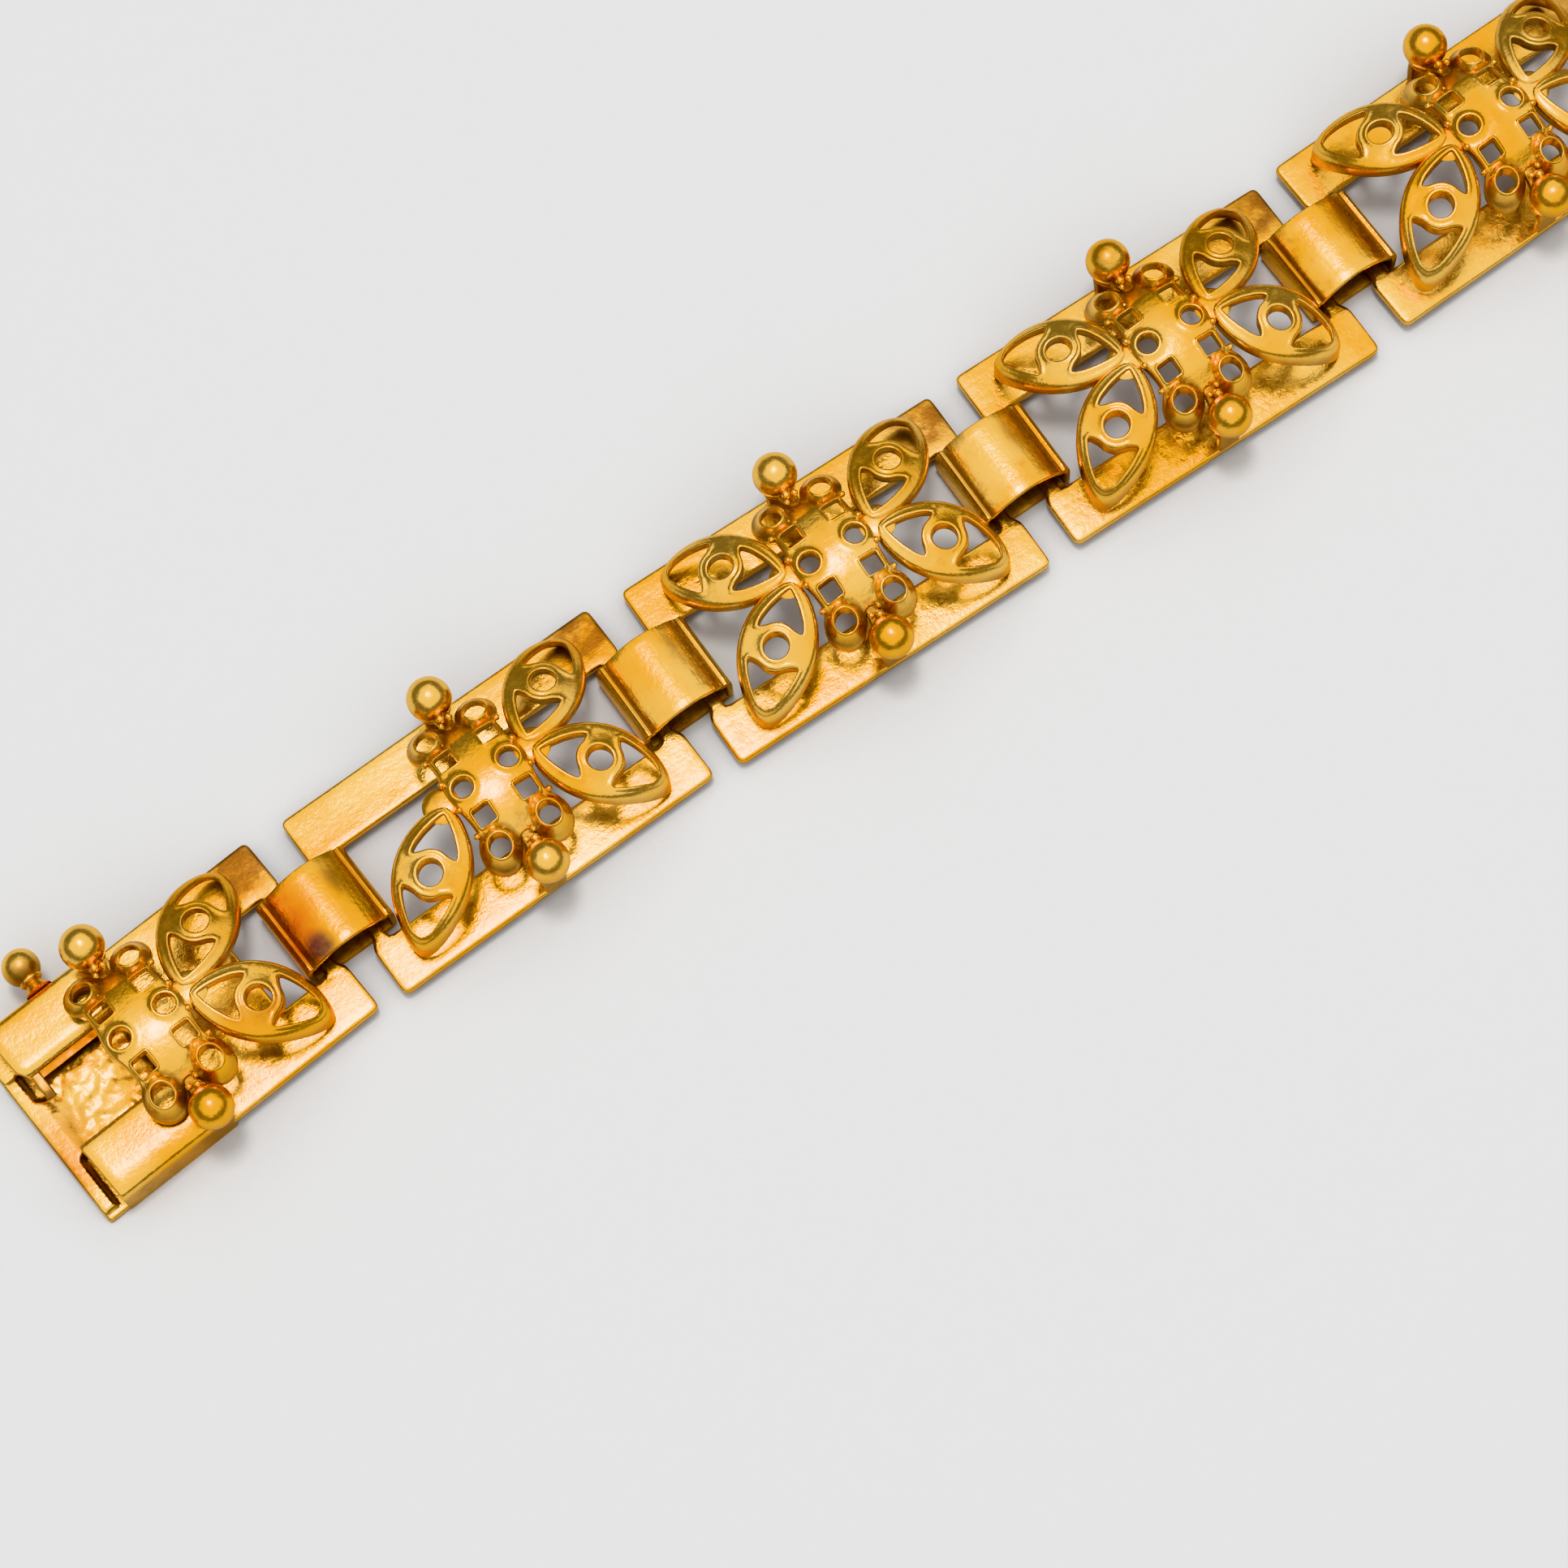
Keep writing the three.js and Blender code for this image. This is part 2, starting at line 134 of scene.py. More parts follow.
class BraceletColours(PropertyGroup):
    """Colours of the gilding, of the painted shade, and of what has dulled it."""

    gold: FloatVectorProperty(
        name="Gold", description="Colour of the clean gilding",
        default=(0.94, 0.45, 0.03), size=3, min=0.0, max=1.0, subtype='COLOR')
    pale_gold: FloatVectorProperty(
        name="Pale Gold", description="Colour of the gilding where it is rubbed bright",
        default=(0.97, 0.60, 0.15), size=3, min=0.0, max=1.0, subtype='COLOR')
    # The brown of the painted shade in recesses, along edges and on backs, and of the dull patches.
    tarnish_and_shade: FloatVectorProperty(
        name="Tarnish", description="Colour of the brown in recesses and along edges",
        default=(0.17, 0.048, 0.005), size=3, min=0.0, max=1.0, subtype='COLOR')
    stain: FloatVectorProperty(
        name="Heat Stain", description="Colour of the stains left by soldering",
        default=(0.42, 0.10, 0.03), size=3, min=0.0, max=1.0, subtype='COLOR')
    floor: FloatVectorProperty(
        name="Floor", description="Colour of the floor under the bracelet",
        default=(0.70, 0.71, 0.72), size=3, min=0.0, max=1.0, subtype='COLOR')


class Metalwork:
    """The faces of one soldered link, gathered before they become one mesh."""

    def __init__(self):
        self.spots = []
        self.faces = []
        self.dark = []
        self.count = 0

    def add(self, spots, faces, dark):
        start = self.count
        self.spots.append(np.asarray(spots, float))
        self.dark.append(np.broadcast_to(np.asarray(dark, float), (len(spots),)).copy())
        self.faces.extend([tuple(start + i for i in face) for face in faces])
        self.count += len(spots)

    def take(self, other, place, extra_dark=0.0):
        """Adds a copy of other metalwork, moved by a 4 by 4 matrix and given a little more painted
        shade.
        """
        spots = np.concatenate(other.spots)
        turned = spots @ place[:3, :3].T + place[:3, 3]
        faces = other.faces
        if np.linalg.det(place[:3, :3]) < 0:
            faces = [face[::-1] for face in faces]
        self.add(turned, faces, np.concatenate(other.dark) + extra_dark)


def turn_about(axis, degrees):
    return np.array(Matrix.Rotation(math.radians(degrees), 4, axis))


def shift(x, y, z=0.0):
    place = np.eye(4)
    place[:3, 3] = (x, y, z)
    return place


def resample(loop, step):
    """A closed loop with its points moved to an even spacing."""
    loop = np.asarray(loop, float)
    closed = np.vstack([loop, loop[:1]])
    lengths = np.linalg.norm(np.diff(closed, axis=0), axis=1)
    along = np.concatenate([[0.0], np.cumsum(lengths)])
    count = max(8, int(round(along[-1] / step)))
    marks = np.linspace(0.0, along[-1], count, endpoint=False)
    return np.stack([np.interp(marks, along, closed[:, k]) for k in (0, 1)], 1)


def soften(loop, reach, step):
    """Rounds a loop's corners by averaging along it."""
    loop = resample(loop, step)
    for _ in range(max(1, int(round(2.0 * (reach / step) ** 2)))):
        loop = 0.25 * np.roll(loop, 1, 0) + 0.5 * loop + 0.25 * np.roll(loop, -1, 0)
    return resample(loop, step)


def circle(x, y, radius, step, clockwise=True):
    count = max(16, int(round(2 * math.pi * radius / step)))
    angles = np.linspace(0, 2 * math.pi, count, endpoint=False)
    if clockwise:
        angles = -angles
    return np.stack([x + radius * np.cos(angles), y + radius * np.sin(angles)], 1)


def wound(loop, clockwise):
    """The loop, run round the way that is asked for."""
    nxt = np.roll(loop, -1, 0)
    area = np.sum(loop[:, 0] * nxt[:, 1] - nxt[:, 0] * loop[:, 1])
    return loop[::-1] if (area < 0) != clockwise else loop


def into_metal(loop):
    """Unit steps from each point of a loop towards the metal on its left."""
    ahead = np.roll(loop, -1, 0) - loop
    ahead /= np.maximum(np.linalg.norm(ahead, axis=1), 1e-9)[:, None]
    mean = ahead + np.roll(ahead, 1, 0)
    mean /= np.maximum(np.linalg.norm(mean, axis=1), 1e-9)[:, None]
    bend = np.maximum(np.sum(mean * ahead, 1), 0.75)
    return np.stack([-mean[:, 1], mean[:, 0]], 1) / bend[:, None]


def within(points, loops):
    """True for each point that is inside an odd number of the loops."""
    inside = np.zeros(len(points), bool)
    px, py = points[:, 0][:, None], points[:, 1][:, None]
    for loop in loops:
        a, b = loop, np.roll(loop, -1, 0)
        crosses = (a[:, 1] > py) != (b[:, 1] > py)
        rise = np.where(b[:, 1] == a[:, 1], 1e-12, b[:, 1] - a[:, 1])
        x_there = a[:, 0] + (py - a[:, 1]) * (b[:, 0] - a[:, 0]) / rise
        inside ^= (np.sum(crosses & (px < x_there), 1) % 2).astype(bool)
    return inside


# Rows of even triangles, and how near an edge a point may come, as shares of the spacing.
ROW_RISE = 0.866
EDGE_CLEARANCE = 0.55


def fill_between(rings, spacing):
    """Triangles over the metal between a rim and its holes, with even points inside it."""
    edge_spots = np.concatenate(rings)
    edges = []
    start = 0
    for ring in rings:
        count = len(ring)
        edges += [(start + i, start + (i + 1) % count) for i in range(count)]
        start += count
    low, high = rings[0].min(0), rings[0].max(0)
    rows = np.arange(low[1], high[1], spacing * ROW_RISE)
    grid = []
    for k, y in enumerate(rows):
        xs = np.arange(low[0] + (k % 2) * spacing / 2, high[0], spacing)
        grid.append(np.stack([xs, np.full(len(xs), y)], 1))
    grid = np.concatenate(grid)
    grid = grid[within(grid, rings)]
    if len(grid):
        gaps = np.concatenate([
            np.sqrt(((part[:, None, :] - edge_spots[None, :, :]) ** 2).sum(2)).min(1)
            for part in np.array_split(grid, max(1, len(grid) // 400))
        ])
        grid = grid[gaps > spacing * EDGE_CLEARANCE]
    spots = np.concatenate([edge_spots, grid])
    made, _, faces, origins, _, _ = delaunay_2d_cdt(
        [Vector(spot) for spot in spots], edges, [], 0, 1e-7)
    extra = []
    index = []
    for spot, origin in zip(made, origins):
        if origin:
            index.append(origin[0])
        else:
            index.append(len(spots) + len(extra))
            extra.append((spot.x, spot.y))
    if extra:
        spots = np.concatenate([spots, np.array(extra)])
    faces = np.array([[index[i] for i in face] for face in faces])
    faces = faces[within(spots[faces].mean(1), rings)]
    corners = spots[faces]
    one, two = corners[:, 1] - corners[:, 0], corners[:, 2] - corners[:, 0]
    turned = one[:, 0] * two[:, 1] - one[:, 1] * two[:, 0] < 0
    faces[turned] = faces[turned][:, ::-1]
    return spots, faces


def stamped_sheet(work, loops, sections, height, thick, spacing, hang=None, under=None,
                  darkening=None):
    """A pierced sheet. The first loop is its rim and the rest are its holes. Each loop has a
    section whose rows run from the face over the edge to the back: how far into the metal,
    how far up or down from the face, how much painted shade, and how much of the hang the row
    takes. `under` is the height of a flat underside, and the last argument darkens the face here and
    there."""
    loops = [wound(np.asarray(loop), k > 0) for k, loop in enumerate(loops)]
    steps = [into_metal(loop) for loop in loops]
    firsts = [loop + step * section[0][0] for loop, step, section in zip(loops, steps, sections)]
    plan, triangles = fill_between(firsts, spacing)
    edge_count = sum(len(loop) for loop in loops)
    spots, dark, faces = [], [], []
    front = np.zeros(len(plan), int)
    back = np.zeros(len(plan), int)
    base = 0
    done = 0
    for loop, step, section in zip(loops, steps, sections):
        count = len(loop)
        for row, (inset, drop, shade, share) in enumerate(section):
            xy = loop + step * inset
            z = height(xy[:, 0], xy[:, 1]) + drop
            if hang is not None and share:
                z = z - share * hang(xy[:, 0], xy[:, 1])
            spots.append(np.column_stack([xy, z]))
            extra_dark = 0.0 if darkening is None else darkening(xy[:, 0], xy[:, 1])
            dark.append(np.maximum(extra_dark, shade) * np.ones(count))
            if row:
                here, last = base + row * count, base + (row - 1) * count
                faces += [
                    (last + i, here + i, here + (i + 1) % count, last + (i + 1) % count)
                    for i in range(count)
                ]
        front[done:done + count] = base + np.arange(count)
        back[done:done + count] = base + (len(section) - 1) * count + np.arange(count)
        base += len(section) * count
        done += count
    inner = plan[edge_count:]
    z = height(inner[:, 0], inner[:, 1])
    front[edge_count:] = base + np.arange(len(inner))
    back[edge_count:] = base + len(inner) + np.arange(len(inner))
    low = z - thick if under is None else np.full(len(inner), under)
    spots += [np.column_stack([inner, z]), np.column_stack([inner, low])]
    extra_dark = np.zeros(len(inner)) if darkening is None else darkening(inner[:, 0], inner[:, 1])
    dark += [extra_dark, np.full(len(inner), BACK_SHADE)]
    faces += [tuple(face) for face in front[triangles]]
    faces += [tuple(face[::-1]) for face in back[triangles]]
    work.add(np.concatenate(spots), faces, np.concatenate(dark))


def turned_form(work, profile, place, sides=24, dark=None, closed=False):
    """A form turned about Z from (radius, height) rows, listed upwards on the outside."""
    profile = np.asarray(profile, float)
    dark = np.zeros(len(profile)) if dark is None else np.asarray(dark, float)
    angles = np.linspace(0, 2 * math.pi, sides, endpoint=False)
    spots = np.concatenate([
        np.column_stack([r * np.cos(angles), r * np.sin(angles), np.full(sides, z)])
        for r, z in profile
    ])
    faces = []
    count = len(profile)
    for k in range(count if closed else count - 1):
        low, high = k * sides, ((k + 1) % count) * sides
        faces += [
            (low + i, low + (i + 1) % sides, high + (i + 1) % sides, high + i)
            for i in range(sides)
        ]
    if not closed:
        faces.append(tuple(range(sides))[::-1])
        faces.append(tuple((count - 1) * sides + i for i in range(sides)))
    form = Metalwork()
    form.add(spots, faces, np.repeat(dark, sides))
    work.take(form, place)


def collar(work, radius, roll, place, sides, dark):
    """A ring of round wire about a neck."""
    angles = np.linspace(0, 2 * math.pi, 10, endpoint=False)
    ring = np.column_stack([radius + roll * np.cos(angles), roll * np.sin(angles)])
    turned_form(work, ring, place, sides, np.full(10, dark), True)


def ball(work, radius, place, sides=28, dark=0.0):
    """A ball with painted shade that starts a little above its middle and deepens downwards."""
    lifts = np.linspace(-math.pi / 2 + 0.09, math.pi / 2 - 0.09, sides // 2 + 2)
    profile = np.stack([radius * np.cos(lifts), radius * np.sin(lifts)], 1)
    shade = dark + 0.85 * np.clip(0.45 - np.sin(lifts), 0, 1)
    turned_form(work, profile, place, sides, shade)


def strap(work, path, start, end, thick, to_spot, closed=False, dark=0.0, bevel=0.07, ribs=4,
          darkening=None):
    """A strip of sheet bent along a flat path of (p, q) rows. `start` and `end` are where its
    two edges lie on each row, and its thickness goes to the left of the path. `dark` adds painted
    shade along the strip, and the last argument darkens it from place to place along and across the
    strip."""
    path = np.asarray(path, float)
    count = len(path)
    ahead = np.roll(path, -1, 0) - np.roll(path, 1, 0) if closed else np.gradient(path, axis=0)
    ahead /= np.linalg.norm(ahead, axis=1)[:, None]
    left = np.stack([-ahead[:, 1], ahead[:, 0]], 1)
    start = np.broadcast_to(start, (count,))
    end = np.broadcast_to(end, (count,))
    parts = [part / ribs for part in range(ribs + 1)]
    # Share across, bevels in from the edge, share of the thickness, bevels of it, shade.
    rows = [(a, 1 - 2 * a, 0, 0, 0.0) for a in parts]
    rows += [(1, -0.3, 0, 0.3, 0.1), (1, 0, 0, 1, 0.35), (1, 0, 1, -1, 0.5), (1, -0.3, 1, -0.3, 0.8)]
    rows += [(a, 1 - 2 * a, 1, 0, 0.95) for a in reversed(parts)]
    rows += [(0, 0.3, 1, -0.3, 0.8), (0, 0, 1, -1, 0.5), (0, 0, 0, 1, 0.35), (0, 0.3, 0, 0.3, 0.1)]
    spots, shades = [], []
    for across, edge, deep, cut, shade in rows:
        pq = path + left * (deep * thick + cut * bevel)
        where = start + across * (end - start) + edge * bevel
        spots.append(to_spot(pq[:, 0], pq[:, 1], where))
        extra_dark = 0.0 if darkening is None else darkening(pq, where)
        shades.append(np.clip(dark + shade + extra_dark, 0, 1) * np.ones(count))
    faces = []
    size = len(rows)
    for k in range(count if closed else count - 1):
        low, high = k * size, ((k + 1) % count) * size
        faces += [
            (low + i, high + i, high + (i + 1) % size, low + (i + 1) % size)
            for i in range(size)
        ]
    if not closed:
        faces.append(tuple(range(size)))
        faces.append(tuple((count - 1) * size + i for i in reversed(range(size))))
    work.add(np.stack(spots, 1).reshape(-1, 3), faces, np.stack(shades, 1).reshape(-1))


def along_x(p, q, w):
    """A strap whose path lies in the YZ plane."""
    return np.column_stack([np.broadcast_to(w, p.shape), p, q])


def along_y(p, q, w):
    """A strap whose path lies in the XZ plane."""
    return np.column_stack([p, np.broadcast_to(w, p.shape), q])


def smooth_path(points, step):
    """An open path through the points, with rounded bends and even steps."""
    points = np.asarray(points, float)
    for _ in range(2):
        cut = [points[0]]
        for one, two in zip(points[:-1], points[1:]):
            cut += [one * 0.75 + two * 0.25, one * 0.25 + two * 0.75]
        points = np.array(cut + [points[-1]])
    along = np.concatenate([[0.0], np.cumsum(np.linalg.norm(np.diff(points, axis=0), axis=1))])
    marks = np.linspace(0.0, along[-1], max(3, int(round(along[-1] / step)) + 1))
    return np.stack([np.interp(marks, along, points[:, k]) for k in (0, 1)], 1)


# Rows are: how far into the metal, how far up or down, how much painted shade, and its share of the
# hang.
PLATE_EDGE = (
    (0.16, 0.0, 0.0, 0), (0.07, -0.012, 0.05, 0), (0.02, -0.05, 0.15, 0),
    (0.0, -0.12, 0.3, 0), (0.0, -0.36, 0.5, 0), (0.04, -0.46, 0.7, 0),
    (0.16, -PLATE_THICK, BACK_SHADE, 0),
)
BOX_FLOOR_EDGE = (
    (0.12, 0.0, 0.1, 0), (0.04, -0.02, 0.2, 0), (0.0, -0.1, 0.4, 0), (0.0, -0.34, 0.6, 0),
    (0.12, -0.38, BACK_SHADE, 0),
)
PETAL_RIM = (
    (0.24, 0.0, 0.0, 0), (0.16, -0.02, 0.0, 0), (0.09, -0.06, 0.05, 0), (0.035, -0.13, 0.15, 0),
    (0.0, -0.24, 0.35, 0), (0.0, -0.6, 0.7, 1), (0.1, -0.62, 0.9, 1), (0.16, -0.45, 1.0, 0.6),
    (0.24, -0.3, 1.0, 0),
)
DOME_RIM = (
    (0.11, 0.0, 0.1, 0), (0.055, -0.03, 0.25, 0), (0.015, -0.09, 0.45, 0), (0.0, -0.18, 0.65, 0),
    (0.0, -0.45, 0.9, 0), (0.07, -0.48, 0.95, 0), (0.11, -0.3, 1.0, 0),
)


def pierced_edge(lip, inset, depth):
    """The edge of a hole punched from above: a soft roll, then a wall that goes down."""
    # The third figure of each row is painted shade, deepening down the hole's wall.
    return (
        (inset, 0.0, 0.0, 0), (inset * 0.74, lip * 0.55, 0.0, 0), (inset * 0.5, lip * 0.95, 0.0, 0),
        (inset * 0.3, lip, 0.0, 0), (inset * 0.14, lip * 0.75, 0.05, 0),
        (inset * 0.03, lip * 0.1, 0.15, 0), (0.0, -0.13, 0.4, 0), (0.0, -depth, 0.8, 0),
        (inset * 0.4, -depth, 0.9, 0), (inset, -0.3, 1.0, 0),
    )


PETAL_LENGTH = 5.75
PETAL_TURN = 42.5
PETAL_ROOT = (2.1, 0.15)
PETAL_HALF_WIDTH = 1.7
ROOT_TOP = 3.35
TIP_TOP = 1.1
EYE_AT = 2.96
EYE_RADIUS = 0.54
EYE_RING = 1.0


def petal_spine(u):
    """The height of a petal's middle line, falling towards its tip."""
    t = np.clip(u / PETAL_LENGTH, 0.0, 1.0)
    return TIP_TOP + (ROOT_TOP - TIP_TOP) * (1 - t ** 3.2)


def petal_half_width(u):
    """Half the width at a share of the length, fullest at the middle."""
    t = np.clip(u / PETAL_LENGTH, 0.0, 1.0)
    return PETAL_HALF_WIDTH * np.sin(math.pi * t) ** 0.58


def petal(crown, lip):
    """One petal along +X from its root: a shell with a pierced root, an eye and a tip."""
    u = PETAL_LENGTH * (1 - np.cos(np.linspace(0, math.pi, 41))) / 2
    half = petal_half_width(u)
    rim = np.concatenate([
        np.column_stack([u, -half]), np.column_stack([u, half])[::-1][1:-1],
    ])
    rim = soften(rim, 0.16, 0.12)

    bay = np.radians(np.linspace(50, -50, 9))
    base = np.column_stack([EYE_AT - EYE_RING * np.cos(bay), EYE_RING * np.sin(bay)])
    root = np.concatenate([
        [[0.42, 0.0], [0.82, 0.34], [1.28, 0.64], [1.82, 0.9], [2.28, 1.0]], base[1:-1],
        [[2.28, -1.0], [1.82, -0.9], [1.28, -0.64], [0.82, -0.34]],
    ])
    root = soften(root, 0.07, 0.09)

    reach = np.linspace(3.58, PETAL_LENGTH - 0.4, 12)
    inner = np.maximum(petal_half_width(reach) - 0.5, 0.0)
    inner[-1] = 0.0
    start = np.radians(np.linspace(-52, 52, 9))
    ring = np.column_stack([EYE_AT + EYE_RING * np.cos(start), EYE_RING * np.sin(start)])
    tip = np.concatenate([
        ring[1:-1], np.column_stack([reach, inner]), np.column_stack([reach, -inner])[::-1][1:],
    ])
    tip = soften(tip, 0.08, 0.09)
    eye = circle(EYE_AT, 0.0, EYE_RADIUS, 0.1)

    def height(x, y):
        away = np.hypot(x - EYE_AT, y)
        boss = 0.05 * np.exp(-((away - 0.77) / 0.2) ** 2)
        return petal_spine(x) - crown * (y / PETAL_HALF_WIDTH) ** 2 + boss

    def hang(x, y):
        return 0.5 * np.clip(x / PETAL_LENGTH, 0, 1) ** 4

    form = Metalwork()
    edge = pierced_edge(lip, 0.24, 0.5)
    eye_edge = pierced_edge(lip, 0.22, 0.55)
    stamped_sheet(
        form, [rim, root, eye, tip], [PETAL_RIM, edge, eye_edge, edge], height, STAMPED_SHEET,
        0.15, hang)
    return form


# The dome's two round holes, four squares and four cups, as places in its first quarter.
ROUND_HOLE_X = 1.15
ROUND_HOLE_RADIUS = 0.44
SQUARE_AT = (1.06, 1.46)
SQUARE_HALF = 0.4
CUP_AT = (1.24, 2.84)
CUP_EDGE = 0.93
CUP_HOLE = 0.47
CUP_COLLAR = 0.66


def dome_top(x, y):
    """The dome's face: collars round its holes, and a moat and a falling skirt at each cup."""
    z = 3.6 - 0.07 * x * x - 0.095 * y * y
    away = np.hypot(np.abs(x) - ROUND_HOLE_X, y)
    z = z + 0.06 * np.exp(-((away - 0.58) / 0.12) ** 2)
    away = np.hypot(np.abs(x) - CUP_AT[0], np.abs(y) - CUP_AT[1])
    outside = np.clip((np.abs(y) - 2.0) / 0.7, 0, 1)
    z = z + 0.2 * np.clip((CUP_COLLAR + 0.1 - away) / 0.16, 0, 1)
    z = z - 0.09 * np.exp(-((away - 0.8) / 0.08) ** 2)
    return z - 0.2 * outside * np.clip((away - CUP_COLLAR) / 0.27, 0, 1) ** 1.5


def dome_shade(x, y):
    """Painted shade round the cups, least at the near right one, and on the dome's far side."""
    away = np.hypot(np.abs(x) - CUP_AT[0], np.abs(y) - CUP_AT[1])
    ring = 0.8 * np.exp(-((away - 0.82) / 0.16) ** 2) * (np.abs(y) > 2.0)
    ring = ring * np.where((x > 0) & (y < 0), 0.45, 1.0)
    return np.maximum(ring, 0.5 * np.clip((y - 1.7) / 0.6, 0, 1) * (away > CUP_COLLAR))


def dome(lip):
    """The bowed middle: four squares, two collared holes and a cup in each corner."""
    sweep = np.radians(np.linspace(-48, 172, 21))
    quarter = [(1.93, 0.0), (1.9, 0.35), (1.8, 0.72), (1.73, 1.1), (1.7, 1.6), (1.7, 1.98)]
    quarter += [(CUP_AT[0] + CUP_EDGE * math.cos(a), CUP_AT[1] + CUP_EDGE * math.sin(a))
                for a in sweep]
    quarter = np.array(quarter)
    rim = np.concatenate([
        quarter, [[0.0, 2.8]], quarter[::-1] * (-1, 1), (quarter * (-1, -1))[1:],
        [[0.0, -2.8]], (quarter[::-1] * (1, -1))[:-1],
    ])
    loops = [soften(rim, 0.09, 0.1)]
    sections = [DOME_RIM]
    for sx in (-1, 1):
        loops.append(circle(sx * ROUND_HOLE_X, 0.0, ROUND_HOLE_RADIUS, 0.09))
        sections.append(pierced_edge(lip, 0.2, 0.5))
        for sy in (-1, 1):
            square = np.array([(-1, -1), (1, -1), (1, 1), (-1, 1)]) * SQUARE_HALF
            loops.append(soften(square + (sx * SQUARE_AT[0], sy * SQUARE_AT[1]), 0.04, 0.08))
            sections.append(pierced_edge(lip, 0.12, 0.42))
            loops.append(circle(sx * CUP_AT[0], sy * CUP_AT[1], CUP_HOLE, 0.09))
            sections.append(pierced_edge(lip, 0.14, 0.6))
    form = Metalwork()
    stamped_sheet(form, loops, sections, dome_top, STAMPED_SHEET, 0.125, darkening=dome_shade)
    return form


def ball_and_tab(radius):
    """The ball on the -Y edge, with the collar, granules and tab that carry it."""
    form = Metalwork()
    ball(form, radius, shift(0.0, -BALL_Y, BALL_Z))
    # The collar and the tab are painted with shade.
    collar(form, 0.62, 0.17, shift(0.0, -4.35, 1.92), 24, 0.6)
    granules = ((0.14, -3.36, 2.78, 0.21), (-0.2, -3.22, 2.84, 0.16), (0.3, -3.02, 2.88, 0.13))
    for x, y, z, size in granules:
        ball(form, size, shift(x, y, z), 14)
    path = [(-4.66, -0.3), (-4.69, 0.6), (-4.69, 1.45), (-4.5, 1.85), (-4.0, 2.1), (-3.3, 2.45)]
    path = smooth_path(path + [(-2.8, 2.6)], 0.18)[::-1]
    width = np.interp(path[:, 1], [-0.3, 1.3, 2.2, 2.6], [0.5, 0.62, 0.4, 0.26])
    strap(form, path, -width, width, 0.32, along_x, dark=0.6)
    return form


def ornament(corners, sizes):
    """The stamped work of one link: the dome, its two balls and the petals at some corners."""
    lip = sizes.lip_height / MM
    form = Metalwork()
    form.take(dome(lip), np.eye(4))
    leaf = petal(sizes.petal_crown / MM, lip)
    for sx, sy in corners:
        turn = PETAL_TURN * sy if sx > 0 else 180 - PETAL_TURN * sy
        place = shift(sx * PETAL_ROOT[0], sy * PETAL_ROOT[1])
        form.take(leaf, place @ turn_about('Z', turn), PETAL_SHADE[sx, sy])
    for sx in {sx for sx, _ in corners}:
        web = [(0.05, -0.3), (0.6, -0.26), (0.8, -0.12), (0.82, -0.04), (0.7, 0.05), (0.45, 0.1)]
        web += [(0.2, 0.125), (0.02, 0.13)]
        place = shift(sx * 2.28, 0.0, 3.14) @ turn_about('Y', sx * 4)
        # The web is painted with shade, darkest at its foot.
        turned_form(form, web, place, 28, [0.9, 0.8, 0.4, 0.15, 0.0, 0.0, 0.0, 0.0])
        for sy in (-1, 1):
            ball(form, 0.16, shift(sx * 1.78, sy * 0.68, 3.3), 12)
            ball(form, 0.15, shift(sx * 1.8, sy * 1.97, 2.96), 12, 0.1)
    knob = ball_and_tab(sizes.ball_radius / MM)
    form.take(knob, np.eye(4))
    form.take(knob, turn_about('Z', 180))
    return form


def plate_end(x):
    """The end of a plate from +Y round to -Y, with the notch for the band."""
    side = 1 if x > 0 else -1
    half = [(x - side * 0.2, HALF_WIDTH), (x - side * 0.05, 4.65), (x, 4.5), (x, 2.35)]
    half += [(x - side * 0.26, 1.95)]
    return half + [(px, -py) for px, py in reversed(half)]


def dense(loop, step):
    """A loop with points added along its straight runs, so that its corners stay."""
    points = []
    loop = np.asarray(loop, float)
    for one, two in zip(loop, np.roll(loop, -1, 0)):
        count = max(1, int(round(np.linalg.norm(two - one) / step)))
        points += [one + (two - one) * k / count for k in range(count)]
    return np.array(points)


def ripple(seed):
    """Slow waves that keep a hand-finished plate from lying dead flat."""
    a, b, c = 0.7 + 0.13 * (seed % 5), 1.9 + 0.7 * (seed % 3), seed * 1.7

    def height(x, y):
        wave = 0.03 * (np.sin(0.62 * x * a + c) * np.cos(0.6 * y + b) - 1.0)
        return wave - 0.07 * np.clip((-y - 2.4) / 2.3, 0, 1) ** 1.5
    return height


def plate_dark_patches(x, y):
    """Darkens a plate's far right corner and a patch on the far side of the ornament."""
    corner = 1.3 * np.exp(-((x - 7.0) / 1.7) ** 2 - ((y - 3.8) / 1.5) ** 2)
    beside = 0.4 * np.exp(-((x - 2.7) / 0.9) ** 2 - ((y - 3.6) / 0.8) ** 2)
    return corner + beside


def plate(form, rim, window, seed):
    """A flat plate with a window. The seed picks how its face waves."""
    loops = [soften(dense(rim, 0.15), 0.07, 0.15), soften(dense(window, 0.2), 0.07, 0.2)]
    stamped_sheet(form, loops, [PLATE_EDGE, PLATE_EDGE], ripple(seed), PLATE_THICK, 0.4,
                  darkening=plate_dark_patches)


def oblong(x0, x1, y0, y1):
    return [(x0, y0), (x1, y0), (x1, y1), (x0, y1)]


# The petals by the corner that each points to, and the painted shade on each. The far ones are
# shaded, the far right one most.
RIGHT_CORNERS = ((1, 1), (1, -1))
ALL_CORNERS = RIGHT_CORNERS + ((-1, 1), (-1, -1))
PETAL_SHADE = {(1, 1): 0.28, (1, -1): 0.0, (-1, 1): 0.1, (-1, -1): 0.0}


def seated(form, index):
    """The ornament as this link carries it, not quite square to its plate."""
    tilt, lean, turn, slip = SEATING[index]
    place = shift(ORNAMENT_SHIFT + slip, 0.0) @ turn_about('Z', turn)
    place = place @ shift(0, 0, SEAT_HEIGHT) @ turn_about('X', tilt) @ turn_about('Y', lean)
    return place @ shift(0, 0, -SEAT_HEIGHT)


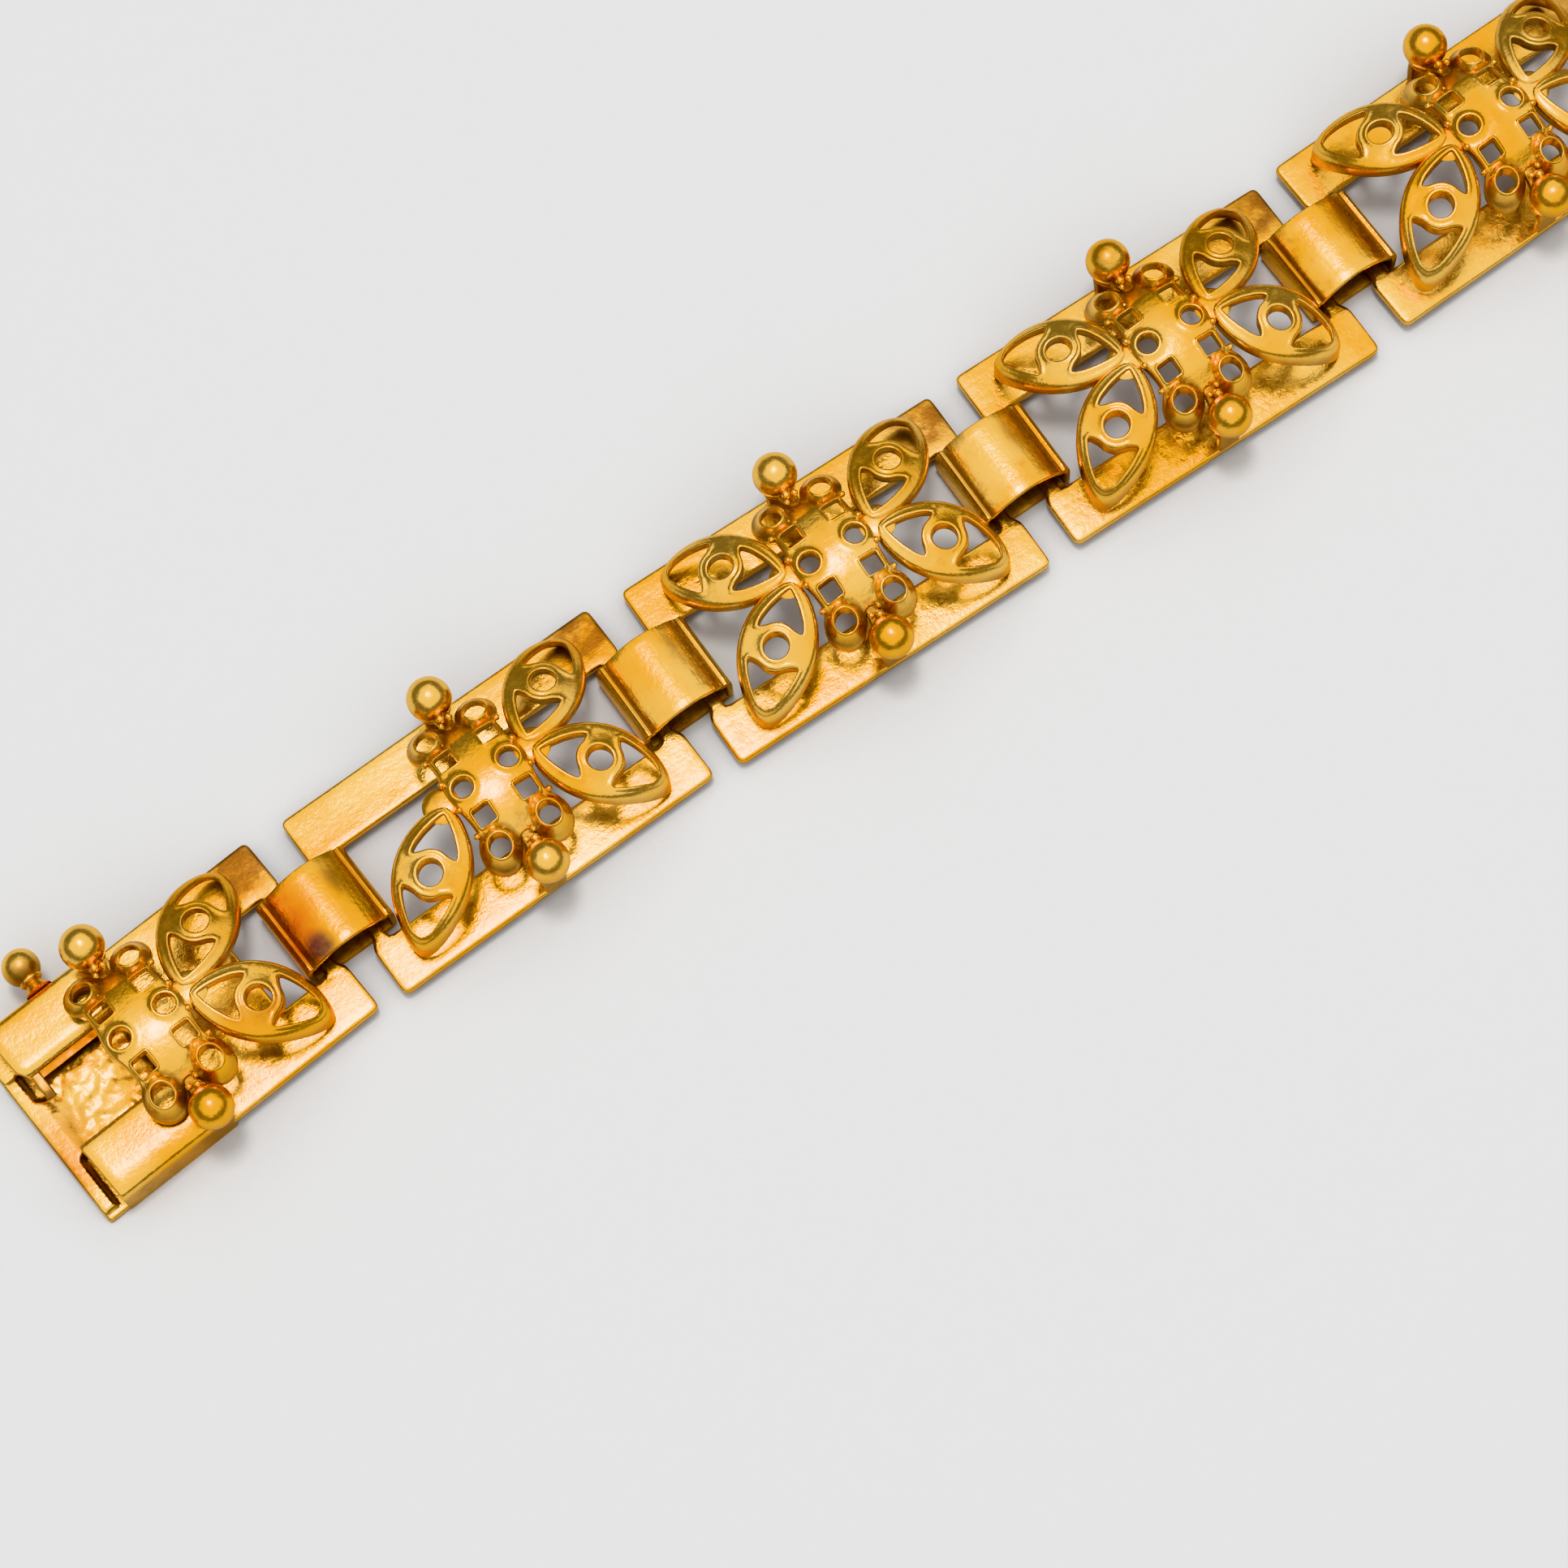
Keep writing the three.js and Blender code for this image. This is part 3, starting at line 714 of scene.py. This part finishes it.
def panel(index, sizes):
    """A whole link. The broken one has lost its far left petal."""
    form = Metalwork()
    half = PLATE_LENGTH / 2
    rim = plate_end(half) + plate_end(-half)[::-1]
    plate(form, rim, oblong(-WINDOW_END, WINDOW_END, -WINDOW_HALF, WINDOW_HALF), index)
    corners = ALL_CORNERS
    if index == BROKEN_PANEL:
        corners = [(sx, sy) for sx, sy in ALL_CORNERS if sx > 0 or sy < 0]
    form.take(ornament(corners, sizes), seated(form, index))
    return form


def connector(crease, seed):
    """A band: a closed loop of strip with an arched top between two creased shoulders."""
    arch = [(x, BAND_CROWN - 0.66 * (x / 1.86) ** 2) for x in (1.7, 1.5, 1.2, 0.9, 0.6, 0.3)]
    side = [(0.0, -PLATE_TOP), (0.8, -PLATE_TOP), (1.6, -PLATE_TOP), (1.95, -0.915), (2.13, -0.84)]
    side += [(2.23, -0.68), (2.25, -0.45), (2.25, -0.1), (2.25, 0.3), (2.24, 0.5), (2.19, 0.7)]
    side += [(2.1, 0.84), (2.0, 0.93 - crease * 0.1), (1.93, 0.945 - crease * 0.5)]
    side += [(1.86, 0.96 - crease), (1.79, 1.0 - crease * 0.3)]
    half = side + arch
    loop = half + [(0.0, BAND_CROWN)] + [(-x, z) for x, z in reversed(half[1:])]
    path = dense(loop, 0.14)
    top = path[:, 1] > 0.9
    # Painted shade in the creases inside the shoulders, and a lighter painted shade off the top of
    # the arch.
    crease_shade = 0.55 * (np.abs(np.abs(path[:, 0]) - 1.87) < 0.09) * top + 0.3 * (~top)
    edge = BAND_WIDTH / 2 + 0.02 * np.sin(path[:, 0] * 1.3 + seed)

    # A darker patch on the right of the arch's top, a little different from band to band.
    def darkening(spot, across):
        patch = np.exp(-((spot[:, 0] - 1.1) / 0.55) ** 2 - ((across - 0.7) / 1.0) ** 2)
        return (0.75 - 0.1 * (seed % 3)) * patch * (spot[:, 1] > 0.9)

    form = Metalwork()
    strap(form, path, -edge, edge, BAND_SHEET, along_y, True, crease_shade, 0.05, 10, darkening)
    return form


def rough_floor(x, y):
    """The floor of the box, lumpy with solder between the flaps, with a sill at its open end."""
    lump = np.zeros(np.shape(x))
    for lump_x, lump_y, size, slant in np.random.default_rng(7).random((SOLDER_LUMPS, 4)):
        lump_x = -5.1 + 4.1 * lump_x
        lump_y = -1.9 + 3.6 * lump_y
        reach = 0.07 + 0.1 * size
        rise = 0.2 * reach * (1 if slant > 0.3 else -0.8)
        slant = math.tau * slant
        along = (x - lump_x) * math.cos(slant) + (y - lump_y) * math.sin(slant)
        across = (y - lump_y) * math.cos(slant) - (x - lump_x) * math.sin(slant)
        lump = lump + rise * np.exp(-(along / (1.5 * reach)) ** 2 - (across / reach) ** 2)
    between = np.clip((2.2 - np.abs(y)) / 0.5, 0, 1) * np.clip((-0.6 - x) / 0.4, 0, 1)
    between = between * np.clip((x + 5.3) / 0.6, 0, 1)
    ease = np.clip((np.abs(y + 0.25) - 1.35) / 0.3, 0, 1)
    sill = np.clip((-4.5 - 0.95 * ease - x) / (1.0 - 0.85 * ease), 0, 1)
    sill = sill * np.clip((2.85 - y) / 0.12, 0, 1) * np.clip((y + 4.4) / 0.12, 0, 1)
    return BOX_FLOOR + (0.05 + lump) * between + SILL_RISE * sill * sill * (3 - 2 * sill)


def clasp_shell():
    """The box: a floor with a raised end, walls, and two flaps folded inwards."""
    form = Metalwork()
    floor = soften(dense(oblong(BOX_END, 0.38, -4.66, 4.66), 0.15), 0.08, 0.15)
    stamped_sheet(form, [floor], [BOX_FLOOR_EDGE], rough_floor, 0.38, 0.13, under=BOX_UNDERSIDE)
    # Each flap goes up the wall from the floor, over the top and down at the slot.
    far = [(HALF_WIDTH, BOX_UNDERSIDE), (HALF_WIDTH, 0.5), (HALF_WIDTH, 1.0), (4.5, 1.2)]
    far += [(4.0, 1.22), (3.0, 1.2), (2.5, 1.2), (2.2, 1.16), (2.0, 1.06), (1.88, 0.85)]
    far = smooth_path(far + [(1.86, 0.1)], 0.1)
    left = np.interp(far[:, 0], [1.9, 2.4, HALF_WIDTH], [-5.15, -5.45, -5.55])
    left = np.where(far[:, 1] < 0.3, -5.3, left)
    right = np.interp(far[:, 0], [1.9, 2.2, 2.6], [-0.75, 0.2, 0.4])
    strap(form, far, left, right, BOX_SHEET, along_x, ribs=14)
    near = [(-HALF_WIDTH, BOX_UNDERSIDE), (-HALF_WIDTH, 0.1), (-4.69, 0.6), (-4.6, 0.9)]
    near += [(-4.25, 1.05), (-3.7, 1.17), (-2.6, 1.2), (-2.0, 1.19), (-1.8, 1.1)]
    near = smooth_path(near + [(-1.75, 0.9), (-1.75, 0.2)], 0.1)[::-1]
    left = np.interp(near[:, 0], [-HALF_WIDTH, -2.6, -1.75], [-5.2, -5.25, -5.3])
    right = np.interp(near[:, 0], [-2.6, -2.2, -1.75], [0.4, 0.2, -0.75])
    # The near flap's wall is painted dark below its roll, a painted reflection of dark surroundings.
    wall = 0.6 * np.clip((0.75 - near[:, 1]) / 0.3, 0, 1)
    strap(form, near, left, right, BOX_SHEET, along_x, dark=wall, ribs=14)
    # The deck under the dome gets a little painted shade.
    deck = smooth_path([(0.4, BOX_UNDERSIDE), (0.4, 0.9), (0.36, 1.15), (0.1, 1.2), (-0.3, 1.2),
                        (-0.62, 1.19), (-0.78, 1.08), (-0.8, 0.8), (-0.8, 0.2)], 0.12)
    strap(form, deck, -2.7, 2.7, BOX_SHEET, along_y, dark=0.2, ribs=12)
    hook = smooth_path([(1.95, 0.55), (1.5, 0.5), (1.1, 0.42), (0.95, 0.3)], 0.12)[::-1]
    strap(form, hook, -5.1, -4.65, 0.3, along_x, ribs=4)
    return form


def catch_stud():
    """The ball for a safety catch, on a neck that stands out of the far wall."""
    form = Metalwork()
    x, y, z = STUD_AT
    outward = turn_about('X', -90)
    ball(form, STUD_RADIUS, shift(x, y, z) @ outward)
    # The neck and its collar get a little painted shade.
    neck = [(0.62, -1.3), (0.5, -1.15), (0.38, -0.95), (0.36, -0.6), (0.42, -0.4)]
    turned_form(form, neck, shift(x, y, z) @ outward, 20, np.full(len(neck), 0.3))
    collar(form, 0.42, 0.12, shift(x, 5.28, z) @ outward, 20, 0.3)
    return form


def clasp_box(sizes):
    """The box, its stud, and on its right the end of a panel with two petals."""
    form = Metalwork()
    rim = plate_end(PLATE_LENGTH / 2) + [(0.1, -HALF_WIDTH), (0.1, HALF_WIDTH)]
    plate(form, rim, oblong(4.7, WINDOW_END, -WINDOW_HALF, WINDOW_HALF), 0)
    form.take(clasp_shell(), np.eye(4))
    form.take(catch_stud(), np.eye(4))
    form.take(ornament(RIGHT_CORNERS, sizes), seated(form, 0))
    return form


def clasp_tongue():
    """The hidden half of the clasp: a short plate, a leaf folded back and a thumb piece."""
    form = Metalwork()
    end_plate = Metalwork()
    rim = [(-4.7, HALF_WIDTH), (-4.7, -HALF_WIDTH)] + plate_end(-PLATE_LENGTH / 2)[::-1]
    plate(end_plate, rim, oblong(-WINDOW_END, -5.7, -WINDOW_HALF, WINDOW_HALF), 7)
    # The end plate and the folded leaf get painted shade.
    form.take(end_plate, np.eye(4), 0.25)
    leaf = smooth_path([(-5.2, -0.5), (-1.0, -0.5), (1.5, -0.5), (2.0, -0.47), (2.04, -0.12),
                        (1.5, 0.12), (-1.0, 0.55), (-3.7, 0.85)], 0.14)
    strap(form, leaf, -3.6, 3.6, 0.3, along_y, ribs=12, dark=0.35)
    thumb = smooth_path([(-3.3, 0.5), (-3.25, 1.2), (-3.3, 1.6), (-3.5, 1.7), (-3.65, 1.6),
                         (-3.7, 0.6)], 0.1)
    strap(form, thumb, -1.5, 1.5, 0.12, along_y, ribs=8)
    return form


def link_places():
    """The middle and turn of every link, from the table of lays and the frame's own place."""
    places = []
    end = np.array([PLATE_LENGTH / 2, 0.0])
    for i in range(PANEL_COUNT + 2):
        turn, slip = LAY[min(i, len(LAY) - 1)]
        slip = slip if i < len(LAY) else 0.0
        along = np.array([math.cos(math.radians(turn)), math.sin(math.radians(turn))])
        if i:
            start = end + along * LINK_GAP + np.array([-along[1], along[0]]) * slip
        else:
            start = end - along * PLATE_LENGTH
        end = start + along * PLATE_LENGTH
        places.append({"turn": turn, "start": start, "middle": (start + end) / 2, "end": end})
    low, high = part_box("connector_1")
    band = (np.array(low[:2]) + np.array(high[:2])) / 2 / MM
    move = band - (places[0]["end"] + places[1]["start"]) / 2
    for place in places:
        for key in ("start", "middle", "end"):
            place[key] = place[key] + move
    return places


# Faces that meet at more than this many degrees keep a sharp edge.
SHARP_ANGLE = 50


def make_piece(form, name, node, material, middle, turn):
    """Turns gathered metalwork into one object in the frame's place of its node."""
    spots = np.concatenate(form.spots)
    place = shift(middle[0], middle[1], PLATE_TOP) @ turn_about('Z', turn)
    spots = (spots @ place[:3, :3].T + place[:3, 3]) * MM
    mesh = bpy.data.meshes.new(name)
    mesh.from_pydata(spots.tolist(), [], form.faces)
    if mesh.validate():
        raise RuntimeError("stray faces in " + name)
    # The darkness attribute carries the painted shade that the material turns brown.
    dark = mesh.attributes.new("darkness", 'FLOAT', 'POINT')
    dark.data.foreach_set("value", np.concatenate(form.dark).astype(np.float32))
    mesh.shade_smooth()
    mesh.set_sharp_from_angle(angle=math.radians(SHARP_ANGLE))
    mesh.materials.append(material)
    piece = bpy.data.objects.new(name, mesh)
    bpy.context.scene.collection.objects.link(piece)
    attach(piece, "root")
    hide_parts(node)
    return piece


class Shader:
    """A short way to write one node material."""

    def __init__(self, name):
        self.material = bpy.data.materials.new(name)
        self.material.use_nodes = True
        self.tree = self.material.node_tree
        self.surface = self.tree.nodes["Principled BSDF"]
        self.place = self.tree.nodes.new("ShaderNodeTexCoord").outputs["Object"]

    def join(self, value, socket):
        if isinstance(value, bpy.types.NodeSocket):
            self.tree.links.new(value, socket)
        else:
            socket.default_value = value

    def noise(self, scale, detail=3.0, rough=0.55, stretch=None, turn=0.0):
        node = self.tree.nodes.new("ShaderNodeTexNoise")
        node.inputs["Scale"].default_value = scale
        node.inputs["Detail"].default_value = detail
        node.inputs["Roughness"].default_value = rough
        place = self.place
        if stretch:
            mapping = self.tree.nodes.new("ShaderNodeMapping")
            mapping.inputs["Scale"].default_value = stretch
            mapping.inputs["Rotation"].default_value = (0, 0, math.radians(turn))
            self.tree.links.new(place, mapping.inputs["Vector"])
            place = mapping.outputs["Vector"]
        self.tree.links.new(place, node.inputs["Vector"])
        return node.outputs["Fac"]

    def spread(self, value, low, high, out_low=0.0, out_high=1.0):
        node = self.tree.nodes.new("ShaderNodeMapRange")
        node.clamp = True
        for key, number in zip(("From Min", "From Max", "To Min", "To Max"),
                               (low, high, out_low, out_high)):
            node.inputs[key].default_value = number
        self.tree.links.new(value, node.inputs["Value"])
        return node.outputs["Result"]

    def sum(self, kind, one, two):
        node = self.tree.nodes.new("ShaderNodeMath")
        node.operation = kind
        self.join(one, node.inputs[0])
        self.join(two, node.inputs[1])
        return node.outputs["Value"]

    def mix(self, share, one, two):
        node = self.tree.nodes.new("ShaderNodeMix")
        node.data_type = 'RGBA'
        self.join(share, node.inputs["Factor"])
        self.join(one if isinstance(one, bpy.types.NodeSocket) else (*one, 1.0), node.inputs["A"])
        self.join(two if isinstance(two, bpy.types.NodeSocket) else (*two, 1.0), node.inputs["B"])
        return node.outputs["Result"]

    def attribute(self, name):
        node = self.tree.nodes.new("ShaderNodeAttribute")
        node.attribute_name = name
        return node.outputs["Fac"]

    def spot(self, centre, reach):
        """A soft round patch about a place in metres, 1 in its middle and 0 outside."""
        node = self.tree.nodes.new("ShaderNodeVectorMath")
        node.operation = 'DISTANCE'
        self.tree.links.new(self.place, node.inputs[0])
        node.inputs[1].default_value = centre
        return self.spread(node.outputs["Value"], reach * 0.4, reach, 1.0, 0.0)

    def bump(self, height, depth, before=None):
        node = self.tree.nodes.new("ShaderNodeBump")
        node.inputs["Strength"].default_value = 1.0
        node.inputs["Distance"].default_value = depth
        self.tree.links.new(height, node.inputs["Height"])
        if before:
            self.tree.links.new(before, node.inputs["Normal"])
        return node.outputs["Normal"]


# The clear coat over the gilding, and the tint of its shine at a grazing angle.
COAT_WEIGHT = 0.32
COAT_ROUGHNESS = 0.13
GRAZING_TINT = (1.0, 0.8, 0.5, 1.0)


def gilding(name, colours, dullness, brush, brush_depth, stains, burns=()):
    """Gilt brass: cloudy gold, painted shade in the recesses, dull patches, brush marks, fine grain
    and stains. Each burn is a place, its reach and its colour."""
    look = Shader(name)
    clouds = look.noise(210.0, 3.0, 0.5)
    patches = look.noise(620.0, 5.0, 0.62)
    grain = look.noise(5200.0, 4.0, 0.6)
    marks = look.noise(1.0, 3.0, 0.6, brush, 4.0)
    colour = look.mix(look.spread(clouds, 0.40, 0.62), colours.gold, colours.pale_gold)
    # The darkness attribute is painted shade. It is mottled by the patches and joined by the dull
    # patches before it browns the gold.
    painted_shade = look.spread(look.attribute("darkness"), 0.05, 0.95)
    mottled = look.sum('MULTIPLY', painted_shade, look.spread(patches, 0.3, 0.62, 0.45, 1.15))
    darkening = look.spread(patches, 0.56, 0.74, 0.0, dullness)
    brown = look.sum('MAXIMUM', mottled, darkening)
    if stains:
        burn = look.spread(look.noise(130.0, 2.0, 0.5), 0.62, 0.74, 0.0, stains)
        colour = look.mix(burn, colour, colours.stain)
    for centre, reach, tint in burns:
        uneven = look.spread(patches, 0.3, 0.6, 0.5, 1.0)
        share = look.sum('MULTIPLY', look.spot(centre, reach), uneven)
        colour = look.mix(share, colour, tint)
    colour = look.mix(look.spread(brown, 0.0, 1.0, 0.0, 0.9), colour, colours.tarnish_and_shade)
    rough = look.spread(grain, 0.3, 0.7, 0.15, 0.27)
    rough = look.sum('ADD', rough, look.spread(brown, 0.0, 1.0, 0.0, 0.2))
    rough = look.sum('ADD', rough, look.spread(marks, 0.45, 0.75, 0.0, 0.07))
    normal = look.bump(grain, 0.000012)
    normal = look.bump(patches, 0.00003, normal)
    normal = look.bump(marks, brush_depth, normal)
    look.join(colour, look.surface.inputs["Base Color"])
    look.join(rough, look.surface.inputs["Roughness"])
    look.join(normal, look.surface.inputs["Normal"])
    look.surface.inputs["Metallic"].default_value = 1.0
    look.surface.inputs["Coat Weight"].default_value = COAT_WEIGHT
    look.surface.inputs["Coat Roughness"].default_value = COAT_ROUGHNESS
    look.surface.inputs["Specular Tint"].default_value = GRAZING_TINT
    return look.material


def panel_gold(colours):
    return gilding("panel_gold", colours, 0.45, (350.0, 3600.0, 3600.0), 0.000006, 0.0)


def band_gold(colours):
    """The bands' gilding, with the orange and purple burn on the left of the first band."""
    low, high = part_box("connector_1")
    x, y = (low[0] + high[0]) / 2, (low[1] + high[1]) / 2
    z = high[2] - 0.4 * MM
    burns = [
        ((x - 1.5 * MM, y + 0.6 * MM, z), 1.7 * MM, (0.74, 0.17, 0.01)),
        ((x - 1.6 * MM, y - 0.7 * MM, z), 1.5 * MM, (0.70, 0.15, 0.01)),
        ((x - 0.9 * MM, y - 1.5 * MM, z), 0.95 * MM, (0.15, 0.055, 0.05)),
    ]
    brush = (4200.0, 260.0, 4200.0)
    return gilding("band_gold", colours, 0.6, brush, 0.000011, 0.5, burns)


def clasp_gold(colours):
    return gilding("clasp_gold", colours, 0.35, (420.0, 3000.0, 3000.0), 0.000007, 0.55)


def floor_paint(colours):
    look = Shader("floor_paint")
    shade = look.spread(look.noise(900.0, 4.0), 0.3, 0.7, 0.0, 0.05)
    look.join(look.mix(shade, colours.floor, (0.66, 0.65, 0.63)), look.surface.inputs["Base Color"])
    look.join(look.bump(look.noise(2500.0, 3.0), 0.00002), look.surface.inputs["Normal"])
    look.surface.inputs["Roughness"].default_value = 0.75
    return look.material


# The camera of the photograph, in metres: where it is, its right and its forward direction.
CAMERA_AT = (-0.08176, -0.06039, 0.17490)
CAMERA_RIGHT = (0.83510, -0.54818, -0.04586)
CAMERA_AHEAD = (0.13510, 0.28519, -0.94890)
CAMERA_LENS = 99.66
CAMERA_SENSOR = 36.0

# Soft boxes: name, place, the point each is turned to, its two sides in metres, and watts.
LIGHTS = (
    ("ceiling_light", (-0.03, -0.08, 0.64), (-0.05, -0.02, 0.0), (1.9, 1.7), 8.8),
    ("core_light", (-0.04, 0.055, 0.6), (-0.05, 0.0, 0.0), (0.11, 0.15), 1.3),
)


FLOOR_REACH = 2
SKY_COLOUR = (1.0, 0.94, 0.88, 1.0)
SKY_STRENGTH = 0.22


def aim(place, target):
    return (Vector(target) - Vector(place)).to_track_quat('-Z', 'Y').to_euler()


class BRACELET_OT_stage(Operator):
    """Set up the pale floor, the soft boxes and the camera of the photograph"""

    bl_idname = "bracelet.stage"
    bl_label = "Stage"

    def execute(self, context):
        scene = context.scene
        mesh = bpy.data.meshes.new("floor")
        corners = oblong(-FLOOR_REACH, FLOOR_REACH, -FLOOR_REACH, FLOOR_REACH)
        mesh.from_pydata([(x, y, 0) for x, y in corners], [], [(0, 1, 2, 3)])
        mesh.materials.append(floor_paint(scene.bracelet_colours))
        floor = bpy.data.objects.new("floor", mesh)
        scene.collection.objects.link(floor)

        for name, place, target, (width, depth), watts in LIGHTS:
            data = bpy.data.lights.new(name, 'AREA')
            data.shape = 'RECTANGLE'
            data.size, data.size_y, data.energy = width, depth, watts
            light = bpy.data.objects.new(name, data)
            light.location = place
            light.rotation_euler = aim(place, target)
            scene.collection.objects.link(light)

        world = bpy.data.worlds.new("studio")
        world.use_nodes = True
        background = world.node_tree.nodes["Background"]
        background.inputs["Color"].default_value = SKY_COLOUR
        background.inputs["Strength"].default_value = SKY_STRENGTH
        scene.world = world
        scene.view_settings.view_transform = 'Khronos PBR Neutral'

        data = bpy.data.cameras.new("camera")
        data.lens = CAMERA_LENS
        data.sensor_width = CAMERA_SENSOR
        data.clip_start, data.clip_end = 0.01, 10.0
        camera = bpy.data.objects.new("camera", data)
        right, ahead = Vector(CAMERA_RIGHT), Vector(CAMERA_AHEAD)
        facing = Matrix((right, right.cross(ahead), -ahead)).transposed().to_4x4()
        camera.matrix_world = Matrix.Translation(CAMERA_AT) @ facing
        scene.collection.objects.link(camera)
        scene.camera = camera
        return {'FINISHED'}


class BRACELET_OT_panels(Operator):
    """Make the nine stamped panels in place of their plain solids"""

    bl_idname = "bracelet.panels"
    bl_label = "Panels"

    def execute(self, context):
        sizes = context.scene.bracelet_sizes
        gold = panel_gold(context.scene.bracelet_colours)
        places = link_places()
        for index in range(1, PANEL_COUNT + 1):
            node = f"panel_{index}"
            place = places[index]
            make_piece(panel(index, sizes), f"stamped_{node}", node, gold,
                       place["middle"], place["turn"])
        return {'FINISHED'}


class BRACELET_OT_bands(Operator):
    """Make the ten arched bands that join the links"""

    bl_idname = "bracelet.bands"
    bl_label = "Bands"

    def execute(self, context):
        crease = context.scene.bracelet_sizes.band_shoulder / MM
        gold = band_gold(context.scene.bracelet_colours)
        places = link_places()
        for index, (before, after) in enumerate(zip(places[:-1], places[1:]), 1):
            node = f"connector_{index}"
            make_piece(connector(crease, index), f"arched_{node}", node, gold,
                       (before["end"] + after["start"]) / 2, (before["turn"] + after["turn"]) / 2)
        return {'FINISHED'}


class BRACELET_OT_clasp_box(Operator):
    """Make the box half of the clasp with its flaps, stud and ornament"""

    bl_idname = "bracelet.clasp_box"
    bl_label = "Clasp Box"

    def execute(self, context):
        gold = clasp_gold(context.scene.bracelet_colours)
        place = link_places()[0]
        make_piece(clasp_box(context.scene.bracelet_sizes), "folded_clasp_box", "clasp_box",
                   gold, place["middle"], place["turn"])
        return {'FINISHED'}


class BRACELET_OT_clasp_tongue(Operator):
    """Make the tongue half of the clasp"""

    bl_idname = "bracelet.clasp_tongue"
    bl_label = "Clasp Tongue"

    def execute(self, context):
        gold = bpy.data.materials.get("clasp_gold") or clasp_gold(context.scene.bracelet_colours)
        place = link_places()[-1]
        make_piece(clasp_tongue(), "folded_clasp_tongue", "clasp_tongue", gold,
                   place["middle"], place["turn"])
        return {'FINISHED'}


OPERATORS = (
    BRACELET_OT_stage, BRACELET_OT_panels, BRACELET_OT_bands, BRACELET_OT_clasp_box,
    BRACELET_OT_clasp_tongue,
)


class BRACELET_PT_sidebar(Panel):
    """The bracelet's sizes, colours and pieces"""

    bl_label = "Bracelet"
    bl_space_type = 'VIEW_3D'
    bl_region_type = 'UI'
    bl_category = "Bracelet"

    def draw(self, context):
        layout = self.layout
        for group in (context.scene.bracelet_sizes, context.scene.bracelet_colours):
            for name in group.__annotations__:
                layout.prop(group, name)
        for operator in OPERATORS:
            layout.operator(operator.bl_idname)


CLASSES = (BraceletSizes, BraceletColours, *OPERATORS, BRACELET_PT_sidebar)


def register():
    for item in CLASSES:
        bpy.utils.register_class(item)
    bpy.types.Scene.bracelet_sizes = PointerProperty(type=BraceletSizes)
    bpy.types.Scene.bracelet_colours = PointerProperty(type=BraceletColours)


def unregister():
    del bpy.types.Scene.bracelet_colours
    del bpy.types.Scene.bracelet_sizes
    for item in reversed(CLASSES):
        bpy.utils.unregister_class(item)


def main():
    register()
    bpy.ops.bracelet.stage()
    bpy.ops.bracelet.panels()
    bpy.ops.bracelet.bands()
    bpy.ops.bracelet.clasp_box()
    bpy.ops.bracelet.clasp_tongue()


if __name__ == "__main__":
    main()
